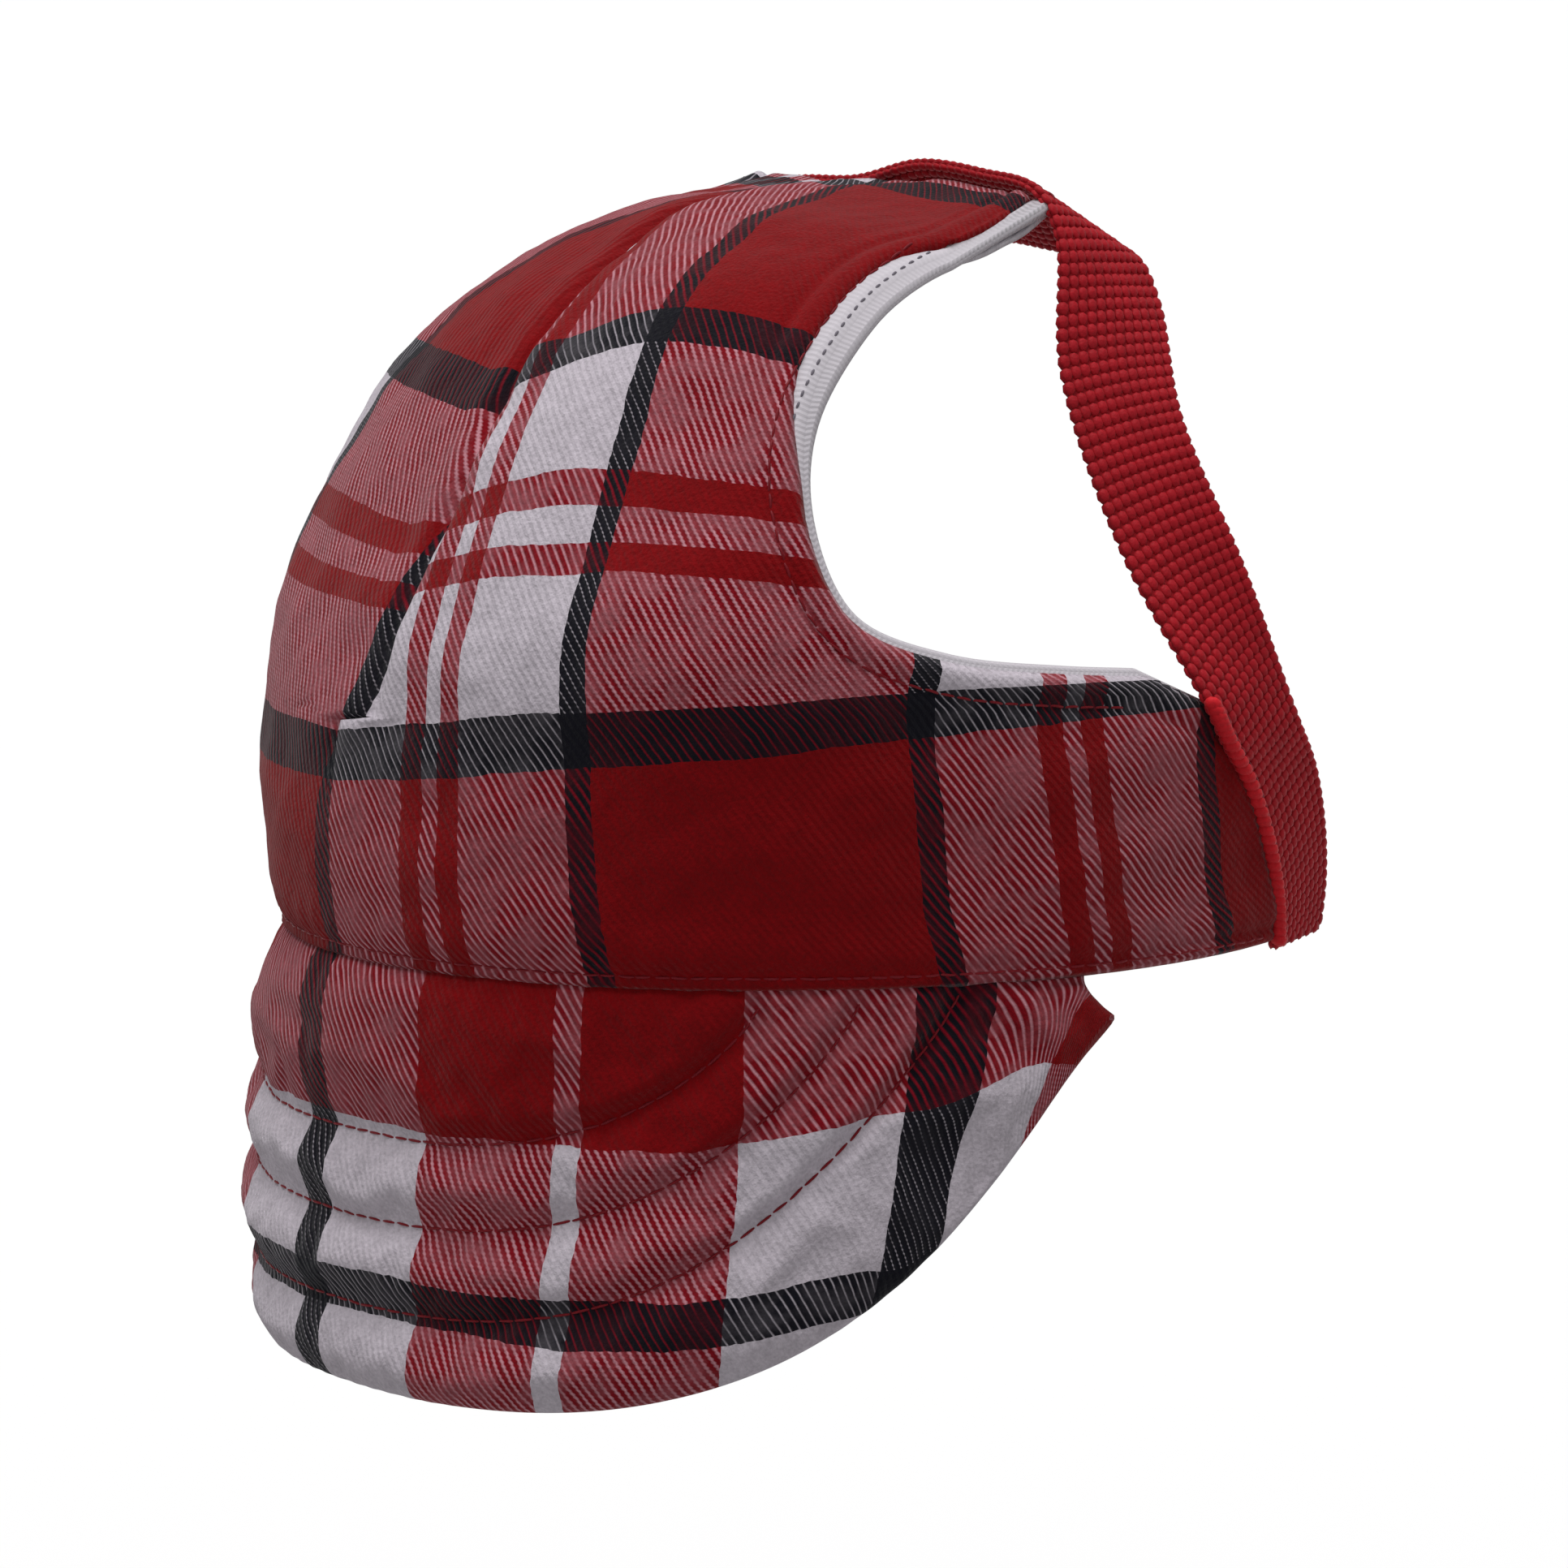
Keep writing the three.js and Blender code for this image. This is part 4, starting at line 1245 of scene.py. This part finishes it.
class Finish(Wires):
    """A material whose surface is one Principled shader."""

    def __init__(self, name, constants):
        self.material = bpy.data.materials.new(name)
        self.material.use_nodes = True
        super().__init__(self.material.node_tree)
        self.tree.nodes.clear()
        self.shader = self.node("ShaderNodeBsdfPrincipled", {}, constants)
        self.node("ShaderNodeOutputMaterial", {}, {"Surface": self.shader.outputs[0]})

    def cloth_lengths(self):
        """Millimetres across and up the cloth."""
        uv = self.node("ShaderNodeUVMap", {"uv_map": "cloth"})
        parts = self.node("ShaderNodeSeparateXYZ", {}, {"Vector": uv.outputs[0]})
        return Wire(self, parts.outputs[0]) * CLOTH_UNIT, Wire(self, parts.outputs[1]) * CLOTH_UNIT

    def place(self):
        return self.node("ShaderNodeTexCoord").outputs["Object"]

    def noise(self, size, detail=2.0):
        """Soft noise from 0 to 1 whose patches are about size millimetres."""
        made = self.node("ShaderNodeTexNoise", {}, {
            "Vector": self.place(), "Scale": 1 / (size * MM), "Detail": detail,
        })
        return Wire(self, made.outputs[0])

    def shaded(self, colour, shade):
        """A colour made lighter or darker by a shade around 1."""
        grey = self.node("ShaderNodeCombineXYZ", {}, {0: shade, 1: shade, 2: shade}).outputs[0]
        return self.mix(1.0, colour, grey, "MULTIPLY")

    def stripes(self, where, stops):
        return self.node("ShaderNodeValToRGB", {"stops": stops}, {"Fac": where}).outputs[0]

    def mix(self, share, first, second, kind="MIX"):
        made = self.node("ShaderNodeMix", {"data_type": "RGBA", "blend_type": kind}, {
            "Factor_Float": share, "A_Color": first, "B_Color": second,
        })
        return made.outputs[2]

    def red_and_green(self, colour):
        parts = self.node("ShaderNodeSeparateColor", {}, {"Color": colour})
        return Wire(self, parts.outputs[0]), Wire(self, parts.outputs[1])

    def colour(self, value):
        self.tree.links.new(value, self.shader.inputs["Base Color"])

    def bump(self, height, depth, strength):
        made = self.node("ShaderNodeBump", {}, {
            "Height": height, "Distance": depth * MM, "Strength": strength,
        })
        self.tree.links.new(made.outputs[0], self.shader.inputs["Normal"])


def bands(start, span, edges):
    """Stops for a ramp: each edge is where a stripe starts, in millimetres, and its colour."""
    return [((at - start) / span, colour) for at, colour in edges]


CLOTH_SHINE = {
    "Roughness": 0.95, "Specular IOR Level": 0.1, "Sheen Weight": 0.12, "Sheen Roughness": 0.5,
}


WANDER, SHIVER = 1.6, 0.5  # how far a stripe's edge strays, slowly and from thread to thread
WEFT_SHARE = 0.64  # how much of a red cloth's face is weft
WHITE_WEFT, WHITE_WARP = 0.3, 0.06  # fine white weft sinks in, and beside white warp weft spreads
BLACK_WEFT, BLACK_WARP = 0.2, 0.34  # the stout black threads cover the others
BEAD, TWILL_CONTRAST = 0.66, 2.4
NAP, NAP_SIZE = 0.85, 5.0  # how far brushing has blurred the twill, and in what patches


def plaid(name, warp, weft, weft_from, weft_span, lean):
    """Brushed twill flannel. warp repeats over its own length; weft is laid out once."""
    finish = Finish(name, CLOTH_SHINE)
    across, up = finish.cloth_lengths()
    wander = (finish.noise(14.0) - 0.5) * WANDER
    shiver = (finish.noise(1.6, 1.0) - 0.5) * SHIVER
    start, end = warp[0][0], warp[-1][0]
    warp_place = ((across + wander + shiver - start) / (end - start)).fraction()
    weft_place = (up + (finish.noise(17.0) - 0.5) * WANDER + shiver - weft_from) / weft_span
    warp_colour = finish.stripes(warp_place.socket, bands(start, end - start, warp[:-1]))
    weft_colour = finish.stripes(weft_place.clamped().socket, bands(weft_from, weft_span, weft))
    warp_red, warp_green = finish.red_and_green(warp_colour)
    weft_red, weft_green = finish.red_and_green(weft_colour)
    white_weft, white_warp = (weft_green * 3.0).clamped(), (warp_green * 3.0).clamped()
    black_weft, black_warp = 1.0 - (weft_red * 9.0).clamped(), 1.0 - (warp_red * 9.0).clamped()
    share_here = WEFT_SHARE - white_weft * WHITE_WEFT + white_warp * WHITE_WARP
    share_here = share_here + black_weft * BLACK_WEFT - black_warp * BLACK_WARP
    phase = ((across + up * lean) / TWILL_STEP + (finish.noise(5.0) - 0.5) * 0.5).fraction()
    ridge = 1.0 - ((phase - 0.5).size() * 2.0)
    beads = ((up / BEAD).fraction() - 0.5).size() * 0.5 - 0.12
    twill = ridge - (1.0 - share_here) + beads * white_weft
    weft_on_top = (twill * TWILL_CONTRAST + 0.5).clamped()
    nap = ((finish.noise(NAP_SIZE, 4.0) - 0.43) * 3.4).clamped() * NAP
    share = weft_on_top + (share_here - weft_on_top) * nap
    woven = finish.mix(share.socket, warp_colour, weft_colour)
    red_fuzz = ((warp_red - warp_green + weft_red - weft_green - 0.2) * 8.0).clamped()
    tinted = finish.mix(1.0, woven, RED_FUZZ, "MULTIPLY")
    woven = finish.mix(red_fuzz.socket, woven, tinted)
    fibre = finish.noise(0.55, 2.0)
    fuzz = finish.noise(2.6, 3.0)
    finish.colour(finish.shaded(woven, (fibre - 0.5) * 0.6 + (fuzz - 0.5) * 0.4 + 1.0))
    finish.bump((ridge * 0.35 + fibre * 0.5 + fuzz * 0.5).socket, 0.5, 0.75)
    return finish.material


TWILL_STEP = 1.4  # millimetres from one diagonal line to the next, along the weft
CROWN_WARP = [
    (0, BLACK), (2.05, WHITE), (18.9, RED), (23.2, WHITE), (26.5, RED),
    (30.6, WHITE), (48.4, BLACK), (52.4, RED), (99.9, BLACK), (102, None),
]
CROWN_WEFT = [
    (-40, RED), (-3.8, BLACK), (3.8, WHITE), (24.6, RED), (29.4, WHITE), (34.9, RED),
    (39.7, WHITE), (60.2, BLACK), (66.8, RED), (113, BLACK), (119, WHITE),
]
VISOR_WARP = [
    (-126, RED), (-33, WHITE), (-8, BLACK), (-2, WHITE), (19, RED), (41.8, WHITE), (45.5, RED),
    (69, WHITE), (94, BLACK), (107, WHITE), (126, RED), (150, WHITE), (230, None),
]
VISOR_WEFT = [(-20, RED), (22.5, WHITE), (44.5, BLACK), (51, WHITE)]

# %% Flannel for the crown and the visor
LEAN = 0.7  # how steeply the twill's diagonal climbs; on the visor it climbs the other way
crown_plaid = plaid("plaid flannel of the crown", CROWN_WARP, CROWN_WEFT, -40.0, 200.0, LEAN)
visor_plaid = plaid("plaid flannel of the visor", VISOR_WARP, VISOR_WEFT, -20.0, 120.0, -LEAN)
print("crown's plaid repeats across every", CROWN_WARP[-1][0], "mm")


# %% Knit, webbing, thread and the hidden layers
WALE, COURSE = 1.1, 0.9  # width of a column of loops, and height of a row


def knit():
    """Rib knit: columns of loops across, each loop a small peak, with painted shade where the loops
    sink.
    """
    finish = Finish("white rib knit", {
        "Roughness": 0.95, "Specular IOR Level": 0.2, "Sheen Weight": 0.3,
    })
    across, up = finish.cloth_lengths()
    wale = ((across / WALE).fraction() - 0.5).size() * 2.0
    course = ((up / COURSE + wale * 0.5).fraction() - 0.5).size() * 2.0
    fuzz = finish.noise(0.8, 3.0)
    height = wale * 0.6 + course * 0.3 + fuzz * 0.3
    # The colour follows the knit's height: painted shade darkens the white where the loops sink between
    # the ribs.
    finish.colour(finish.shaded(KNIT, (height - 0.6) * 0.22 + 0.92))
    finish.bump(height.socket, 0.35, 0.7)
    return finish.material


def yarn(name, colour, size, depth, roughness=0.62):
    """Spun yarn: one colour, with the light and dark of its fibres."""
    finish = Finish(name, {
        "Roughness": roughness, "Specular IOR Level": 0.18, "Sheen Weight": 0.05,
    })
    fibre = finish.noise(size, 3.0)
    patch = finish.noise(size * 9, 2.0)
    finish.colour(finish.shaded(colour, (fibre - 0.5) * 0.5 + (patch - 0.5) * 0.4 + 1.0))
    finish.bump(fibre.socket, depth, 0.6)
    return finish.material


white_knit = knit()
webbing_yarn = yarn("red webbing yarn", WEBBING, 0.5, 0.2)
# The core shows between the floats in the webbing's red made darker: painted shade in the gaps of the
# weave.
webbing_core_painted_shade = yarn("red webbing core with painted shade", srgb(146, 12, 24), 0.6, 0.2, 0.8)
# The folded edge is the webbing's red made lighter: a painted highlight on the raised ridge of the
# fold.
fold_yarn_painted_highlight = yarn("red folded edge with painted highlight", srgb(206, 24, 36), 0.6, 0.2)
red_thread = yarn("red sewing thread", THREAD, 0.4, 0.1, 0.5)
grey_thread = yarn("pale grey sewing thread", srgb(120, 114, 124), 0.4, 0.1, 0.6)
tape_cloth = yarn("white woven tape", srgb(206, 203, 206), 0.7, 0.2, 0.9)
foam_finish = yarn("grey foam", srgb(190, 188, 184), 1.2, 0.3, 0.95)
stiff_cloth = yarn("stiff interlining", srgb(222, 218, 210), 0.8, 0.2, 0.9)


def dress(piece, material):
    """Gives a piece one material."""
    piece.data.materials.clear()
    piece.data.materials.append(material)


# %% [markdown]
# ## Stitches and yarns in place
# The rows of stitches on the crown, the knit strips and the visor are laid on the finished cloth: a ray
# is cast from outside onto the mesh, so the thread sits in the furrow it has pulled, however the cloth
# bulges there. The rows on the strap follow the strap's own face.

# %% Lay a line on a piece
def lay_on(piece, points, outward, reach=8.0):
    """The points moved along the outward direction onto the piece's face."""
    tree = BVHTree.FromObject(piece, bpy.context.evaluated_depsgraph_get())
    laid = []
    for p, out in zip(points, outward):
        hit = tree.ray_cast(Vector((p + out * reach) * MM), Vector(-out), 3 * reach * MM)[0]
        laid.append(np.array(hit) / MM if hit is not None else p)
    return np.array(laid)


THREAD_END = 0.05  # turn left without stitches at each end of the hem
hem_limit = band_end(HEM_STITCH) - THREAD_END
hem_turns = np.linspace(-hem_limit, hem_limit, 400)
hem_height = np.full(len(hem_turns), HEM_STITCH / front_curve.length)
hem_out = crown_out(hem_height, hem_turns)
hem_line = lay_on(crown_cloth, crown(hem_height, hem_turns), hem_out)
hem_stitches = sewn("band_hem_stitches", hem_line, hem_out, red_thread)

ear_stitches, binding_stitches = {}, {}
BINDING_STITCH = 2.6  # opening's edge to the grey row on the knit strip
FINE = {"pitch": 1.9, "length": 1.1}
for name, side in SIDES.items():
    line, out = ear_line(side, inset=-EAR_STITCH, first=6, last=-5)
    line = lay_on(crown_cloth, line, out)
    ear_stitches[name] = sewn(f"ear_stitches_{name}", line, out, red_thread)
    line, out = ear_line(side, inset=-BINDING_STITCH, first=4, last=46)
    line = lay_on(bindings[name], line, out)
    binding_stitches[name] = sewn(f"binding_stitches_{name}", line, out, grey_thread, **FINE)

visor_stitches = []
LONG = {"pitch": 3.0, "length": 2.85}
for row, flat_line in enumerate(quilt_lines):
    out = visor_out(*row_places(row))
    line = lay_on(visor_pad, flat_line, out)
    visor_stitches.append(sewn(f"visor_stitches_{row + 1}", line, out, red_thread, **LONG))

strap_seams = {}
BAND_SEAM = (0.3, 4.5)  # stations between which the strap is sewn to the band
TOP_SEAM = 9.0  # station at which it starts to be sewn to the crown
STRAP_SEAM_INSET = 2.6
OPEN = {"pitch": 3.0, "length": 2.3, "lift": 0.1}
last_station = len(stations) - 1
for name, first, last in (
    ("left", BAND_SEAM[0], BAND_SEAM[1]),
    ("right", last_station - BAND_SEAM[1], last_station - BAND_SEAM[0]),
    ("crown", TOP_SEAM, last_station - TOP_SEAM),
):
    run = np.linspace(first, last, 160) / last_station
    here, _, out = strap_frame(np.full(len(run), STRAP_SEAM_INSET / STRAP_WIDTH), run)
    strap_seams[name] = sewn(f"strap_seam_stitches_{name}", here, out, red_thread, **OPEN)

# %% Webbing floats and the folded edge
strap_floats = grown(
    "strap_yarn_floats", weave_points, {"along": weave_along, "outward": weave_out}, FLOATS,
    {"Length": 2.4, "Width": 1.85, "Height": 0.95}, webbing_yarn,
)
FOLD = (0.2, 4.9)  # stations between which the strap's edge is folded over at the band
FOLD_FLOATS = 31
FOLD_LIFT = 0.1
FOLD_TWIST = 0.55  # how far the floats on the fold lie askew, as on a rope
fold_points, fold_along, fold_out = [], [], []
for first, last in (FOLD, (last_station - FOLD[1], last_station - FOLD[0])):
    run = np.linspace(first, last, FOLD_FLOATS) / last_station
    here, along, out = strap_frame(np.full(FOLD_FLOATS, 0.03), run)
    fold_points.append(here + out * FOLD_LIFT)
    fold_along.append(unit(along + unit(np.cross(out, along)) * FOLD_TWIST))
    fold_out.append(out)
strap_fold = grown(
    "strap_folded_edge", np.vstack(fold_points),
    {"along": np.vstack(fold_along), "outward": np.vstack(fold_out)},
    FLOATS, {"Length": 3.4, "Width": 2.2, "Height": 2.6}, fold_yarn_painted_highlight,
)

# %% Give every piece its finish
dress(crown_cloth, crown_plaid)
dress(crown_lining, white_knit)
dress(hem_tape, tape_cloth)
dress(visor_pad, visor_plaid)
dress(foam_core, foam_finish)
dress(strap_core, webbing_core_painted_shade)
for piece in bindings.values():
    dress(piece, white_knit)
dress(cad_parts["dart_seam_thread"], red_thread)
for name in SIDES:
    dress(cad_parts[f"front_interlining_{name}"], stiff_cloth)

# %% [markdown]
# ## Which body each piece moves with
# The crown and all that is sewn to it ride on one body, the crown's. The visor's pieces are put on no
# body; their placing is only made part of their meshes.

# %% Ride and replace
def on_crown(piece, slot, *nodes):
    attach(piece, "crown")
    if nodes:
        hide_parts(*nodes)


def on_visor(piece, slot, *nodes):
    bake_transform(piece)
    if nodes:
        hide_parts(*nodes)


on_crown(crown_cloth, "plaid_flannel", "crown_shell")
on_crown(crown_lining, "white_knit", "crown_lining")
on_crown(hem_tape, "seam_tape", "band_seam_tape")
on_crown(hem_stitches, "red_thread", "band_hem_topstitch")
for name in ("left", "right"):
    on_crown(bindings[name], "white_knit", f"ear_binding_{name}")
    on_crown(ear_stitches[name], "red_thread", f"ear_topstitch_{name}")
    on_crown(binding_stitches[name], "white_knit")
for name, piece in strap_seams.items():
    on_crown(piece, "red_thread", f"strap_seam_{name}")
on_crown(strap_core, "red_webbing", "rear_strap")
on_crown(strap_floats, "red_webbing")
on_crown(strap_fold, "red_webbing")
on_visor(visor_pad, "plaid_flannel", "visor_top_cover", "visor_under_cover")
on_visor(foam_core, "foam", "visor_foam")
for row, piece in enumerate(visor_stitches):
    on_visor(piece, "red_thread", f"visor_quilt_row_{row + 1}")
print("pieces on the visor:", 2 + len(visor_stitches))

# %% [markdown]
# ## Camera, light and floor
# The cap is seen from its left and a little above, through a long lens, in soft light from
# overhead on a plain pale floor far enough below that no shadow reaches the picture.

# %% Camera
TURN, TILT = math.radians(57), math.radians(8)
right = Vector((math.cos(TURN), math.sin(TURN), 0))
back = Vector((math.sin(TURN) * math.cos(TILT), -math.cos(TURN) * math.cos(TILT), math.sin(TILT)))
upward = back.cross(right)
AIM_ASIDE, AIM_UP = -4.5, 19.5  # where the camera looks, from the middle of the hem
DISTANCE = 1.0
aim = (right * AIM_ASIDE + upward * AIM_UP) * MM
camera = bpy.data.objects.new("camera", bpy.data.cameras.new("camera"))
camera.data.lens = 149
camera.data.sensor_width = 36
camera.data.clip_end = 60
camera.location = aim + back * DISTANCE
camera.rotation_euler = Matrix((right, upward, back)).transposed().to_euler()
bpy.context.scene.collection.objects.link(camera)
bpy.context.scene.camera = camera
print("camera at, m:", [round(x, 3) for x in camera.location])

# %% Light and floor
FLOOR, PAPER = -0.155, 40  # height of the paper, and how far it reaches, in metres
scene = bpy.context.scene
scene.view_settings.view_transform = "Standard"
world = bpy.data.worlds.new("soft white room")
world.use_nodes = True
sky = world.node_tree.nodes["Background"]
sky.inputs["Color"].default_value = (1, 1, 1, 1)
sky.inputs["Strength"].default_value = 0.36
scene.world = world


def sun(name, direction, strength, spread):
    lamp = bpy.data.objects.new(name, bpy.data.lights.new(name, "SUN"))
    lamp.data.energy = strength
    lamp.data.angle = math.radians(spread)
    lamp.rotation_euler = Vector(direction).to_track_quat("Z", "Y").to_euler()
    scene.collection.objects.link(lamp)
    return lamp


softbox = sun("overhead softbox", (0.02, -0.16, 0.98), 2.3, 48)
corners = [(x * PAPER, y * PAPER, FLOOR) for x, y in ((-1, -1), (1, -1), (1, 1), (-1, 1))]
floor_mesh = bpy.data.meshes.new("floor")
floor_mesh.from_pydata(corners, [], [(0, 1, 2, 3)])
floor = bpy.data.objects.new("floor", floor_mesh)
scene.collection.objects.link(floor)
paper = Finish("pale paper", {
    "Base Color": (0.93, 0.93, 0.93, 1), "Roughness": 1.0, "Specular IOR Level": 0.0,
})
dress(floor, paper.material)
floor.visible_diffuse = False  # the cap is lit from above, not by light off the paper
print("floor and light set")
